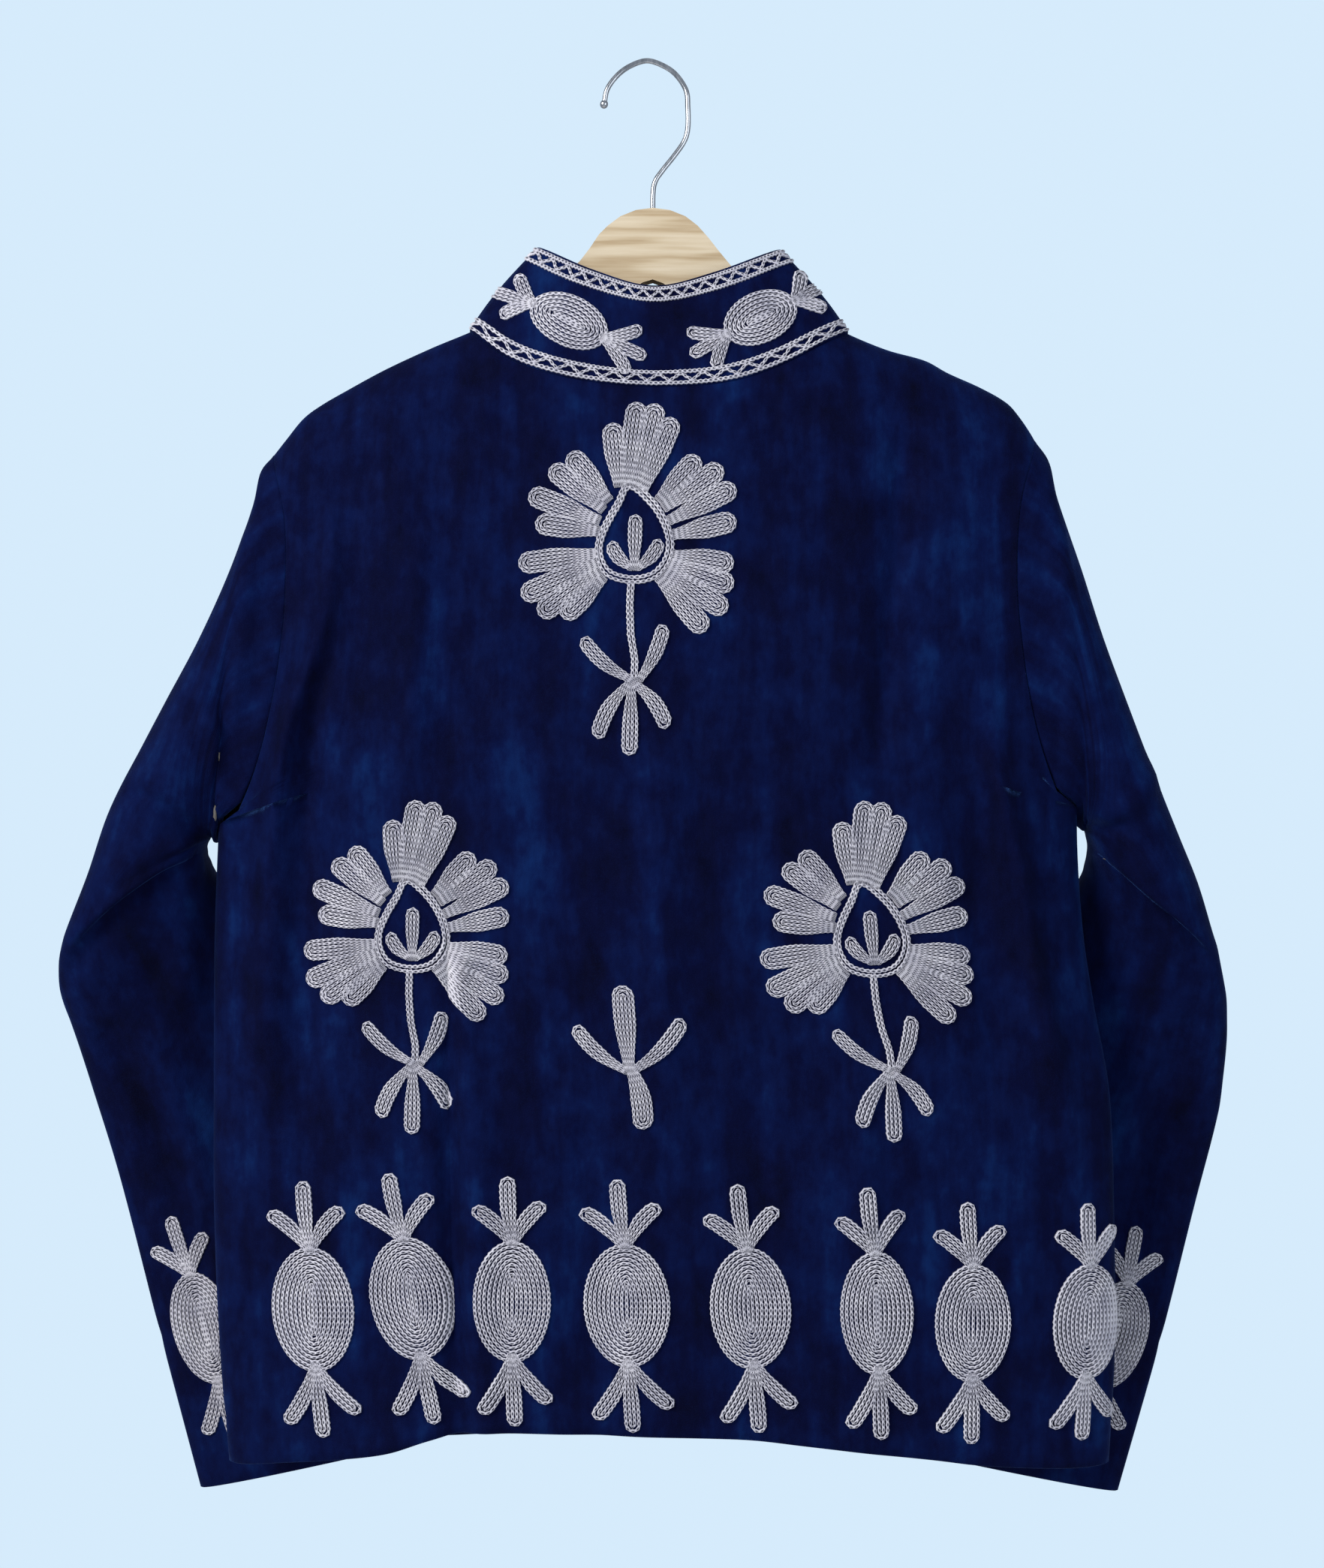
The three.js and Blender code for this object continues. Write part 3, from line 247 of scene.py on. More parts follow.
# The embroidery: how far apart its rows lie, one link of the chain, and its thickness
ROW = 2.45
LINK = 3.2
THREAD = 1.75
JOINT = {"half": 0.31, "tall": 0.98, "middle": 0.88}
LOOP = {"half": 0.49, "tall": 0.94, "middle": 0.42}
PETAL_WIDTH = 13.0
PETAL_BASE = 0.42
RING_WIDTH = 2.9
RING_GROWTH = 1.13
STEM_OFF = 1.1
CUFF_STEP = 62

# The motifs: where each one's centre is, its size and its turn
POMEGRANATE = "x z half_width half_height tilt"
BACK_POMEGRANATES = table(POMEGRANATE, [
    [-188, -708.5, 23, 71, 0], [-131.7, -701.3, 23, 70, 6], [-75.4, -702.6, 21, 69, -2],
    [-11.1, -705, 23.5, 70, 0], [58.2, -706.8, 22, 69, 2], [129, -709, 20, 70, 1],
    [183.3, -715.6, 21, 67, -1], [250, -717, 21, 66, -3],
])
FRONT_POMEGRANATES = table("x z half_width half_height tilt", [
    [72, -712, 22, 70, 0], [165, -716, 22, 69, 3],
])
COLLAR_POMEGRANATES = table(POMEGRANATE, [
    [-43, -151, 15, 47, 62], [63, -149, 15, 44, -62],
])
BACK_FLOWERS = table("x z size tilt", [
    [-8.2, -273.5, 1, 0], [-132.8, -493, 0.94, -1], [124, -495, 0.96, 1],
])

# The fingers of a pomegranate in shares of its half sizes: start, tip and bend
POMEGRANATE_FINGERS = table("start_x start_z tip_x tip_z bend", [
    [0, 0.45, -0.95, 0.75, -0.10], [0, 0.45, -0.15, 1.00, 0.03], [0, 0.45, 0.75, 0.80, 0.10],
    [0, -0.42, -0.75, -0.90, 0.10], [0, -0.42, 0.08, -1.00, 0.00], [0, -0.42, 0.95, -0.80, -0.10],
])

# A flower's petals by their lobes: where each lobe leaves the ring, and its tip
PETAL_LOBES = table("start_x start_z tip_x tip_z", [
    [-8, 27, -12.6, 64], [-4, 27, 1.7, 76], [1, 26, 12.4, 75], [5, 24, 22, 67], [14, 19, 37, 44.6],
    [17, 15, 50.4, 39], [20, 8, 58.2, 27.4], [22, 0, 59, 8.4], [22, -11, 58, -16.4],
    [20, -15, 58, -28.8], [18, -19, 54.4, -42.8], [15, -23, 42.6, -54], [-18, -10, -64, -16.2],
    [-18, -15, -62, -34.4], [-17, -19, -52, -45], [-15, -23, -38.8, -46.4], [-13, 19, -36.6, 46.8],
    [-16, 14, -47, 39], [-18, 8, -59, 23.6], [-18, 2, -55, 7],
])
FLOWER_FINGERS = table("start_x start_z tip_x tip_z bend width", [
    [1.7, -20, 1.7, 12, 0, 8.4], [1, -19, -12.5, -3.5, 2, 8.4], [2.4, -19, 16.5, -2.3, -2, 8.4],
    [3, -82, -27.5, -57.5, 3, 8.8], [4.6, -82, 19, -50, -2, 8.8], [0.6, -82, -18.6, -114, -3, 9.4],
    [0.8, -82, 0, -123.6, 0, 9.6], [1, -82, 21.2, -108.4, 3, 9.4],
])
RING = table("x z", [
    [-2, 27], [-7.5, 17], [-13.5, 6], [-17.2, -4], [-16.6, -13], [-11.5, -20.5], [0, -23.6],
    [11.5, -21.5], [18.4, -14], [20.4, -4], [17, 7], [9.5, 18],
])
STEM = table("x z", [[0, -25], [-0.6, -40], [0.2, -56], [2.6, -70], [2.2, -82]])
SPRIG_FINGERS = table("start_x start_z tip_x tip_z bend width", [
    [0, -14, 0, 35, 0, 12.4], [0, -14, -28, 12, 3, 9], [0, -14, 32, 16, -3, 9],
    [0, -8, 6, -46, 2, 11.6],
])


# Shared shape functions

def each(rows):
    """A table's rows one by one."""
    return zip(*rows.values())


def mix(a, b, t):
    return a + (b - a) * t


def unit(ways):
    return ways / np.maximum(np.linalg.norm(ways, axis=-1, keepdims=True), 1e-9)


def run_length(points, axis=0):
    """How far along its line each point lies, for the lines that follow an axis of a grid."""
    steps = np.linalg.norm(np.diff(points, axis=axis), axis=-1)
    start = np.zeros_like(np.take(steps, [0], axis=axis))
    return np.concatenate([start, np.cumsum(steps, axis=axis)], axis=axis)


def read(rows, key, at, column):
    """A column read between rows by a cubic; its slope at a row is its neighbours' chord's."""
    k, v = rows[key], rows[column]
    last = len(k) - 1
    at = np.clip(at, k[0], k[-1])
    i = np.clip(np.searchsorted(k, at, side="left") - 1, 0, last - 1)
    before, after = np.maximum(i - 1, 0), np.minimum(i + 2, last)
    step = k[i + 1] - k[i]
    t = (at - k[i]) / step
    start = (v[i + 1] - v[before]) / (k[i + 1] - k[before]) * step
    end = (v[after] - v[i]) / (k[after] - k[i]) * step
    return (v[i] * (2 * t**3 - 3 * t**2 + 1) + v[i + 1] * (3 * t**2 - 2 * t**3)
            + start * (t**3 - 2 * t**2 + t) + end * (t**3 - t**2))


def quarter_section():
    """A quarter of a superellipse, x = sin(a)^(2/n) and y = cos(a)^(2/n), by its arc length."""
    angle = np.linspace(0, math.pi / 2, 301)
    x = np.sin(angle) ** (2 / SQUARENESS)
    y = np.maximum(np.cos(angle), 0) ** (2 / SQUARENESS)
    steps = np.hypot(BODY_HALF * np.diff(x), BODY_DEPTH * np.diff(y))
    length = np.concatenate([[0], np.cumsum(steps)])
    return length / length[-1], x, y, length[-1]


QUARTER_C, QUARTER_X, QUARTER_Y, QUARTER_LENGTH = quarter_section()


def section(c):
    """Around the body, c is 0 at the centre back, 1 at the side and 2 at the centre front."""
    size = np.abs(c)
    quarter = np.where(size <= 1, size, 2 - size)
    x = np.sign(c) * np.interp(quarter, QUARTER_C, QUARTER_X)
    y = np.interp(quarter, QUARTER_C, QUARTER_Y)
    return x, np.where(size <= 1, y, -y)


def fold_lift(folds, x, z):
    """Sum of folds: a bell curve across each slanting line, faded by a half sine to its ends."""
    lift = np.zeros(np.broadcast(x, z).shape)
    for top_x, top_z, low_x, low_z, width, height in each(folds):
        along = np.clip((top_z - z) / (top_z - low_z), -0.3, 1.3)
        centre = mix(top_x, low_x, np.clip(along, 0, 1))
        ends = np.maximum(np.sin(math.pi * (along + 0.3) / 1.6), 0) ** 0.7
        lift = lift + height * ends * np.exp(-(((x - centre) / width) ** 2))
    return lift


def crease_lift(creases, x, z):
    """Sum of creases: each a bell curve of the distance from a line of three points."""
    x, z = np.broadcast_arrays(x, z)
    lift = np.zeros(x.shape)
    for x1, z1, x2, z2, x3, z3, width, height in each(creases):
        near = np.full(x.shape, 1e9)
        for ax, az, bx, bz in ((x1, z1, x2, z2), (x2, z2, x3, z3)):
            t = ((x - ax) * (bx - ax) + (z - az) * (bz - az)) / ((bx - ax) ** 2 + (bz - az) ** 2)
            t = np.clip(t, 0, 1)
            near = np.minimum(near, np.hypot(x - mix(ax, bx, t), z - mix(az, bz, t)))
        lift = lift + height * np.exp(-((near / width) ** 2))
    return lift


def body_point(c, z, inset):
    """A point of the body's cloth: the section at its height, arched down to the shoulder line.

    inset moves it inwards from the outer face, and a negative one moves it out.
    """
    left = read(BODY, "z", z, "left") + inset
    right = read(BODY, "z", z, "right") - inset
    around_x, around_y = section(c)
    x = (left + right) / 2 + around_x * (right - left) / 2
    below = read(RIDGE, "x", x, "z") - z
    top = np.clip(1 - below / SHOULDER_ROUND, 0, 1)
    fall = np.clip((below - inset + inset * top) / (SHOULDER_ROUND - inset), 0, 1)
    arch = np.sqrt(np.maximum(0, 1 - (1 - fall) ** 2))
    is_back = (around_y > 0) | ((around_y == 0) & (np.abs(c) <= 1))
    depth = np.where(is_back, read(BODY, "z", z, "back"), read(BODY, "z", z, "front")) - inset
    back_lift = fold_lift(BACK_FOLDS, x, z) + crease_lift(BACK_CREASES, x, z)
    lift = np.where(is_back, -back_lift, fold_lift(FRONT_FOLDS, x, z))
    y = -around_y * depth * arch + lift * np.clip(np.abs(around_y) * 1.6, 0, 1) * arch
    y = y + np.where(below < SHOULDER_ROUND, np.where(is_back, -SEAM / 2, SEAM / 2), 0)
    return np.stack([x, y, z - inset * top], axis=-1)


def turn_at(x, z, is_back):
    """The c of a place given by its x and z."""
    left, right = read(BODY, "z", z, "left"), read(BODY, "z", z, "right")
    share = (x - (left + right) / 2) / ((right - left) / 2)
    turn = np.interp(np.abs(share), QUARTER_X, QUARTER_C)
    return np.sign(share) * (turn if is_back else 2 - turn)


def side_edge(side, is_back):
    """The panel's edge up the side seam, then up the armhole with rows spaced by a cosine."""
    armpit = ARMPIT[side]
    hem = read(BACK_HEM, "x", HEM_CORNER[side], "z")
    seam_turn = 1 + SIDE_WRAP + (0 if is_back else SEAM / SIDE_SEAM_TURN)
    side_z = mix(hem, armpit, np.linspace(0, 1, SIDE_ROWS + 1))
    t = (1 - np.cos(math.pi * np.arange(1, ARMHOLE_ROWS + 1) / ARMHOLE_ROWS)) / 2
    share = read(ARMHOLE, "height", np.maximum(t, 0.1), "back" if is_back else "front")
    turn = np.interp(share, QUARTER_X, QUARTER_C)
    opened = turn if is_back else 2 - turn
    blend = np.clip(t / 0.1, 0, 1) ** 0.75
    c = np.concatenate([np.full(SIDE_ROWS + 1, seam_turn), mix(seam_turn, opened, blend)])
    return SIDES[side] * c, np.concatenate([side_z, mix(armpit, SHOULDER[side], t)])


def top_height(c, neck):
    """The shoulder line outside the neck and the neck seam inside it, found by repeated reading."""
    z = np.full(np.shape(c), -190.0)
    for _ in range(6):
        left, right = read(BODY, "z", z, "left"), read(BODY, "z", z, "right")
        x = (left + right) / 2 + section(c)[0] * (right - left) / 2
        is_neck = (x > NECK_LEFT) & (x < NECK_RIGHT)
        z = np.where(is_neck, read(neck, "x", x, "z"), read(RIDGE, "x", x, "z"))
    return z


def hem_height(c, hem):
    return read(hem, "x", BODY_CENTRE + section(c)[0] * HEM_HALF, "z")


def panel_rows(start, end, columns, hem, neck):
    """A panel's c and z between two side edges, filled in from its four edges as a Coons patch."""
    (start_c, start_z), (end_c, end_z) = start, end
    u = columns[None, :]
    v_start = ((start_z - start_z[0]) / (start_z[-1] - start_z[0]))[:, None]
    v_end = ((end_z - end_z[0]) / (end_z[-1] - end_z[0]))[:, None]
    v = mix(v_start, v_end, u)
    low = hem_height(mix(start_c[0], end_c[0], u), hem)
    high = top_height(mix(start_c[-1], end_c[-1], u), neck)
    low_line, high_line = mix(start_z[0], end_z[0], u), mix(start_z[-1], end_z[-1], u)
    start_off = start_z[:, None] - mix(start_z[0], start_z[-1], v)
    end_off = end_z[:, None] - mix(end_z[0], end_z[-1], v)
    z = mix(low_line, high_line, v) + mix(start_off, end_off, u)
    z = z + mix(low - low_line, high - high_line, v)
    return mix(start_c[:, None], end_c[:, None], u), z


def grid_ways(grid, ring):
    """Unit vectors square to a grid, from the cross product of its two directions."""
    if ring:
        along = np.roll(grid, -1, axis=1) - np.roll(grid, 1, axis=1)
    else:
        along = np.gradient(grid, axis=1)
    return unit(np.cross(along, np.gradient(grid, axis=0)))


# Meshes

def put(name, data):
    """An object of some data, linked to the scene."""
    thing = bpy.data.objects.new(name, data)
    bpy.context.scene.collection.objects.link(thing)
    return thing


def grid_faces(rows, columns, ring):
    """The row, the column and the four corners of each face of a grid."""
    wrap = columns if ring else columns - 1
    j, i = (k.ravel() for k in np.meshgrid(np.arange(rows - 1), np.arange(wrap), indexing="ij"))
    nxt = (i + 1) % columns
    low, high = j * columns, (j + 1) * columns
    return j, i, np.stack([low + i, low + nxt, high + nxt, high + i], 1)


def new_piece(name, points, faces, uvs, materials, face_materials=None):
    """A mesh object in metres, from points in millimetres and faces of four corners with UVs."""
    mesh = bpy.data.meshes.new(name)
    faces = np.asarray(faces, np.int32)
    mesh.vertices.add(len(points))
    mesh.vertices.foreach_set("co", (np.asarray(points, float) / 1000).ravel())
    mesh.loops.add(faces.size)
    mesh.loops.foreach_set("vertex_index", faces.ravel())
    mesh.polygons.add(len(faces))
    mesh.polygons.foreach_set("loop_start", np.arange(len(faces)) * faces.shape[1])
    mesh.polygons.foreach_set("use_smooth", np.ones(len(faces), bool))
    for material in materials:
        mesh.materials.append(material)
    if face_materials is not None:
        mesh.polygons.foreach_set("material_index", np.asarray(face_materials, np.int32))
    mesh.update(calc_edges=True)
    layer = mesh.uv_layers.new(name="cloth")
    layer.data.foreach_set("uv", np.asarray(uvs, float).ravel())
    mesh.validate()
    return put(name, mesh)


def facing_out(points, faces, uvs):
    """Turns every face round if the closed form's signed volume is negative."""
    a, b, c, d = (points[faces[:, k]] for k in range(4))
    if np.einsum("ij,ij->", a, np.cross(b, c)) + np.einsum("ij,ij->", a, np.cross(c, d)) < 0:
        return faces[:, ::-1], uvs[:, ::-1]
    return faces, uvs


def shell(name, outer, inner, ring, materials, turned_rows=0):
    """A cloth shell between two grids, closed by a rounded rim along its free edges.

    Its UV map is in metres along the rows and up them. The inner face has the second material,
    but for the rows of the hem that are turned in at the end that turned_rows names.
    """
    rows, columns = outer.shape[:2]
    j, i, corners = grid_faces(rows, columns, ring)

    wide = np.concatenate([outer, outer[:, :1]], axis=1) if ring else outer
    across, upward = run_length(wide, 1), run_length(outer.mean(axis=1))
    centred = (across - across[:, -1:] / 2) / 1000
    uv = np.stack([centred, np.repeat(upward[:, None] / 1000, wide.shape[1], 1)], -1)
    uv_corners = np.stack([uv[j, i], uv[j, i + 1], uv[j + 1, i + 1], uv[j + 1, i]], 1)

    count = rows * columns
    points = [outer.reshape(-1, 3), inner.reshape(-1, 3)]
    faces = [corners, corners[:, ::-1] + count]
    face_uvs = [uv_corners, uv_corners[:, ::-1]]
    turned_in = j < turned_rows if turned_rows >= 0 else j >= rows - 1 + turned_rows
    paint = [np.zeros(len(corners), int), np.where(turned_in, 0, 1)]

    row, column = np.arange(rows), np.arange(columns)
    if ring:
        loops = [(0 * column, column, 1), (0 * column + rows - 1, column, -1)]
    else:
        no_row, no_column = 0 * row[:-1], 0 * column[:-1]
        around_j = np.concatenate([no_column, row[:-1], no_column + rows - 1, row[:0:-1]])
        around_i = np.concatenate([column[:-1], no_row + columns - 1, column[:0:-1], no_row])
        loops = [(around_j, around_i, 1)]
    start = 2 * count
    for loop_j, loop_i, way in loops:
        near_j = np.clip(loop_j, 1, rows - 2)
        near_i = loop_i if ring else np.clip(loop_i, 1, columns - 2)
        edge = (outer[loop_j, loop_i] + inner[loop_j, loop_i]) / 2
        away = edge - (outer[near_j, near_i] + inner[near_j, near_i]) / 2
        points.append(edge + unit(away) * RIM)
        size = len(loop_j)
        k = np.arange(size)
        after = (k + 1) % size
        at = loop_j * columns + loop_i
        first = np.stack([at[k], start + k, start + after, at[after]], 1)
        second = np.stack([start + k, count + at[k], count + at[after], start + after], 1)
        for quad in (first, second):
            faces.append(quad if way > 0 else quad[:, ::-1])
            face_uvs.append(np.repeat(uv[loop_j, loop_i][:, None], 4, 1))
            paint.append(np.zeros(size, int))
        start += size
    points = np.concatenate(points)
    faces, face_uvs = facing_out(points, np.concatenate(faces), np.concatenate(face_uvs))
    return new_piece(name, points, faces, face_uvs, materials, np.concatenate(paint))


def tube(name, path, radius, sides, material):
    """A round bar: a circle carried along a path in the XZ plane, with rounded caps."""
    step = unit(np.gradient(path, axis=0))
    across = np.stack([step[:, 2], np.zeros(len(path)), -step[:, 0]], 1)
    cap = np.linspace(0, math.pi / 2, 6)[1:]
    lead = path[:1] - step[:1] * radius * np.sin(cap)[::-1, None]
    tail = path[-1:] + step[-1:] * radius * np.sin(cap)[:, None]
    line = np.concatenate([lead, path, tail])
    narrow = radius * np.cos(cap)
    wide = np.concatenate([narrow[::-1], np.full(len(path), radius), narrow])
    first, last = across[:1].repeat(len(cap), 0), across[-1:].repeat(len(cap), 0)
    side_way = np.concatenate([first, across, last])
    angle = (2 * math.pi * np.arange(sides) / sides)[None, :, None]
    round_way = side_way[:, None] * np.cos(angle) + np.array([0, 1, 0]) * np.sin(angle)
    points = line[:, None] + round_way * np.maximum(wide, 0.02)[:, None, None]
    points = points.reshape(-1, 3)
    j, i, faces = grid_faces(len(line), sides, True)
    uvs = np.stack([i / sides, j / len(line)], 1)[:, None].repeat(4, 1)
    faces, uvs = facing_out(points, faces, uvs)
    return new_piece(name, points, faces, uvs, [material])


# Materials

class Value:
    """A socket that carries numbers; sums and products of values add their Math nodes."""

    def __init__(self, paint, socket):
        self.paint, self.socket = paint, socket

    def math(self, operation, first, second):
        settings = {"operation": operation}
        return self.paint.node("ShaderNodeMath", settings, {0: first, 1: second}).value(0)

    def __add__(self, other): return self.math("ADD", self, other)
    def __radd__(self, other): return self.math("ADD", other, self)
    def __sub__(self, other): return self.math("SUBTRACT", self, other)
    def __rsub__(self, other): return self.math("SUBTRACT", other, self)
    def __mul__(self, other): return self.math("MULTIPLY", self, other)
    def __abs__(self): return self.math("ABSOLUTE", self, 0.0)

    def limited(self):
        return self.paint.node("ShaderNodeClamp", {}, {"Value": self}).value(0)

    def wave(self):
        """A sine of the value, from 0 to 1."""
        return self.math("SINE", self, 0.0) * 0.5 + 0.5


class Node:
    """A node in a material, whose outputs are read by number or name."""

    def __init__(self, paint, made):
        self.paint, self.made = paint, made

    def value(self, output):
        return Value(self.paint, self.made.outputs[output])


class Paint:
    """A material with one shader, built up from nodes."""

    def __init__(self, name, constants):
        self.material = bpy.data.materials.new(name)
        self.material.use_nodes = True
        self.tree = self.material.node_tree
        self.shader = next(n for n in self.tree.nodes if n.type == "BSDF_PRINCIPLED")
        for key, value in constants.items():
            self.shader.inputs[key].default_value = value

    def node(self, kind, settings, inputs):
        """One node of a kind: its settings first, then the values or links of its sockets."""
        made = self.tree.nodes.new(kind)
        for key, value in settings.items():
            if key == "stops":
                ramp = made.color_ramp.elements
                ramp[0].position, ramp[0].color = value[0]
                ramp[1].position, ramp[1].color = value[-1]
                for position, colour in value[1:-1]:
                    ramp.new(position).color = colour
            else:
                setattr(made, key, value)
        for key, value in inputs.items():
            if isinstance(value, Value):
                self.tree.links.new(value.socket, made.inputs[key])
            else:
                made.inputs[key].default_value = value
        return Node(self, made)

    def place(self, output, scale=(1, 1, 1)):
        """A texture coordinate stretched by a Mapping node."""
        where = self.node("ShaderNodeTexCoord", {}, {}).value(output)
        return self.node("ShaderNodeMapping", {}, {"Vector": where, "Scale": scale}).value(0)

    def noise(self, where, scale, detail=3.0, rough=0.5):
        inputs = {"Vector": where, "Scale": scale, "Detail": detail, "Roughness": rough}
        return self.node("ShaderNodeTexNoise", {}, inputs).value(0)

    def ramp(self, value, stops):
        return self.node("ShaderNodeValToRGB", {"stops": stops}, {0: value}).value(0)

    def blend(self, amount, first, second):
        inputs = {0: amount, 6: first, 7: second}
        return self.node("ShaderNodeMix", {"data_type": "RGBA"}, inputs).value(2)

    def bump(self, height, strength, distance, under=None):
        inputs = {"Height": height, "Strength": strength, "Distance": distance}
        if under is not None:
            inputs["Normal"] = under
        return self.node("ShaderNodeBump", {}, inputs).value(0)

    def feed(self, **links):
        for key, value in links.items():
            self.tree.links.new(value.socket, self.shader.inputs[key.replace("_", " ")])
        return self.material


def grey(level):
    return (level, level, level, 1)


def velvet_paint():
    """Navy pile: cloudy patches and soft bands of painted sheen along the cloth, with fine nap in
    the bump.
    """
    constants = {"Sheen Weight": 0.2, "Sheen Roughness": 0.3, "Sheen Tint": (0.10, 0.28, 0.9, 1),
                 "Specular IOR Level": 0.06}
    paint = Paint("velvet", constants)
    # Bands along the cloth whose lighter parts in the colour are painted sheen, where the pile
    # would catch the light
    sheen_streaks = paint.noise(paint.place("UV", (34, 5, 1)), 1.0, 4.0, 0.55)
    clouds = paint.noise(paint.place("Object"), 26.0, 4.0, 0.6)
    crush = paint.noise(paint.place("Object", (1, 1, 0.6)), 130.0, 3.0, 0.6)
    nap = paint.noise(paint.place("Object"), 1700.0, 2.0, 0.6)
    tone_and_sheen = (sheen_streaks * 0.5 + clouds * 0.32 + crush * 0.18).limited()
    # The ramp's lightest stop is a painted highlight, like the one on the ridges of the folds
    colour = paint.ramp(tone_and_sheen, [
        (0.36, (0.0004, 0.0006, 0.010, 1)), (0.47, (0.0006, 0.0018, 0.024, 1)),
        (0.55, (0.0009, 0.0048, 0.044, 1)), (0.66, (0.002, 0.016, 0.09, 1))])
    colour = paint.blend((nap - 0.5).limited() * 0.9, colour, (0.002, 0.010, 0.06, 1))
    normal = paint.bump(nap, 0.5, 0.0006)
    normal = paint.bump(crush * 0.6 + sheen_streaks, 0.22, 0.004, normal)
    return paint.feed(Base_Color=colour, Roughness=0.98 - crush * 0.25, Normal=normal)


def backing_paint():
    """Taupe cotton: a plain weave of two crossing waves."""
    paint = Paint("backing", {"Sheen Weight": 0.15, "Specular IOR Level": 0.2})
    waves = {"Vector": paint.place("UV"), "Scale": 260.0, "Distortion": 0.4}
    warp, weft = (paint.node("ShaderNodeTexWave", {"bands_direction": way}, waves) for way in "XY")
    weave = warp.value(1) * weft.value(1)
    cloud = paint.noise(paint.place("Object"), 40.0, 3.0)
    colour = paint.ramp(weave * 0.3 + cloud * 0.7, [
        (0.25, (0.105, 0.098, 0.088, 1)), (0.75, (0.2, 0.182, 0.165, 1))])
    normal = paint.bump(weave, 0.3, 0.0003)
    return paint.feed(Base_Color=colour, Roughness=0.85 + weave * 0.1, Normal=normal)


def wool_paint():
    """Grey-lilac wool: in each link's loop a dark navy, partly the velvet seen through it and
    partly painted shade, with painted shade along its sides and plies in the bump.
    """
    constants = {"Sheen Weight": 0.25, "Sheen Roughness": 0.5, "Specular IOR Level": 0.15}
    paint = Paint("wool", constants)
    across = paint.node("ShaderNodeSeparateXYZ", {}, {0: paint.place("UV")})
    side, along = across.value(0), across.value(1)
    off = abs(side - 0.5) * 2
    phase = (along * (2 * math.pi)).wave()
    loop = ((1 - off * 1.7).limited() * phase * 1.7).limited()
    rim = ((off - 0.72) * 3.0).limited()
    fibre = paint.noise(paint.place("Object"), 1500.0, 2.0, 0.65)
    patch = paint.noise(paint.place("Object"), 75.0, 2.0)
    plies = ((along * 4 + off * 2.4) * (2 * math.pi)).wave()
    colour = paint.ramp(patch * 0.55 + fibre * 0.45, [
        (0.3, (0.50, 0.50, 0.60, 1)), (0.5, (0.72, 0.71, 0.80, 1)), (0.68, (0.88, 0.87, 0.94, 1))])
    # Each loop's middle is dark navy: partly the velvet seen through the link, partly painted shade
    # in its hollow
    colour = paint.blend(loop * 0.92, colour, (0.012, 0.015, 0.05, 1))
    # Painted shade along the row's sides, where the thread meets the cloth
    colour = paint.blend(rim * 0.5, colour, (0.09, 0.095, 0.17, 1))
    normal = paint.bump(plies * 0.5 + fibre * 0.8, 0.55, 0.0006)
    return paint.feed(Base_Color=colour, Roughness=0.8 + fibre * 0.2, Normal=normal)


def wood_paint():
    """Pale planed wood: long grain lines along the bar with a soft sealed finish."""
    paint = Paint("wood", {"Coat Roughness": 0.3, "Specular IOR Level": 0.4})
    drift = paint.noise(paint.place("Object", (5, 46, 46)), 1.0, 3.0)
    rings = (drift * 34).wave()
    fine = paint.noise(paint.place("Object", (30, 700, 700)), 1.0, 3.0, 0.6)
    colour = paint.ramp(rings * 0.45 + fine * 0.55, [
        (0.2, (0.43, 0.315, 0.185, 1)), (0.5, (0.56, 0.45, 0.30, 1)),
        (0.85, (0.66, 0.56, 0.41, 1))])
    return paint.feed(Base_Color=colour, Roughness=0.38 + fine * 0.25, Coat_Weight=0.1 + fine * 0.2,
                      Normal=paint.bump(fine, 0.12, 0.0004))


def chrome_paint():
    """Bright drawn wire with faint lines along it."""
    paint = Paint("chrome", {"Metallic": 1.0})
    lines = paint.noise(paint.place("Object", (500, 500, 120)), 1.0, 2.0)
    colour = paint.ramp(lines, [(0.3, (0.36, 0.38, 0.41, 1)), (0.7, (0.60, 0.62, 0.65, 1))])
    normal = paint.bump(lines, 0.05, 0.0002)
    return paint.feed(Base_Color=colour, Roughness=0.10 + lines * 0.14, Normal=normal)


def floor_paint():
    paint = Paint("floor", {"Roughness": 0.9})
    cloud = paint.noise(paint.place("Object"), 3.0, 2.0)
    return paint.feed(Base_Color=paint.ramp(cloud, [(0.2, grey(0.72)), (0.8, grey(0.78))]))


VELVET, BACKING, WOOL = velvet_paint(), backing_paint(), wool_paint()
WOODEN, CHROME = wood_paint(), chrome_paint()


# Cloth pieces

def spread(count, power=1):
    return np.linspace(0, 1, count + 1) ** power


def sewn_hem(grid, ways, row):
    """A shallow line in a row of the grid, where the hem's stitches pull the cloth in."""
    pull = HEM_PULL * np.exp(-((np.arange(grid.shape[0]) - row) / 0.9) ** 2)
    return grid - ways * pull[:, None, None]


back_left, back_right = side_edge("left", True), side_edge("right", True)
HEM_ROWS = int(round(HEM_TURN / abs(back_left[1][1] - back_left[1][0])))


def back_columns():
    """Columns from the left armhole to the right one, with one at each neck point."""
    left_turn, span = back_left[0][-1], back_right[0][-1] - back_left[0][-1]
    neck_left = (turn_at(NECK_LEFT, NECK_LEFT_Z, True) - left_turn) / span
    neck_right = (turn_at(NECK_RIGHT, NECK_RIGHT_Z, True) - left_turn) / span
    left = spread(60, 1.25) * neck_left
    middle = mix(neck_left, neck_right, spread(70))[1:]
    right = (1 - spread(60, 1.25) * (1 - neck_right))[::-1][1:]
    return np.concatenate([left, middle, right])


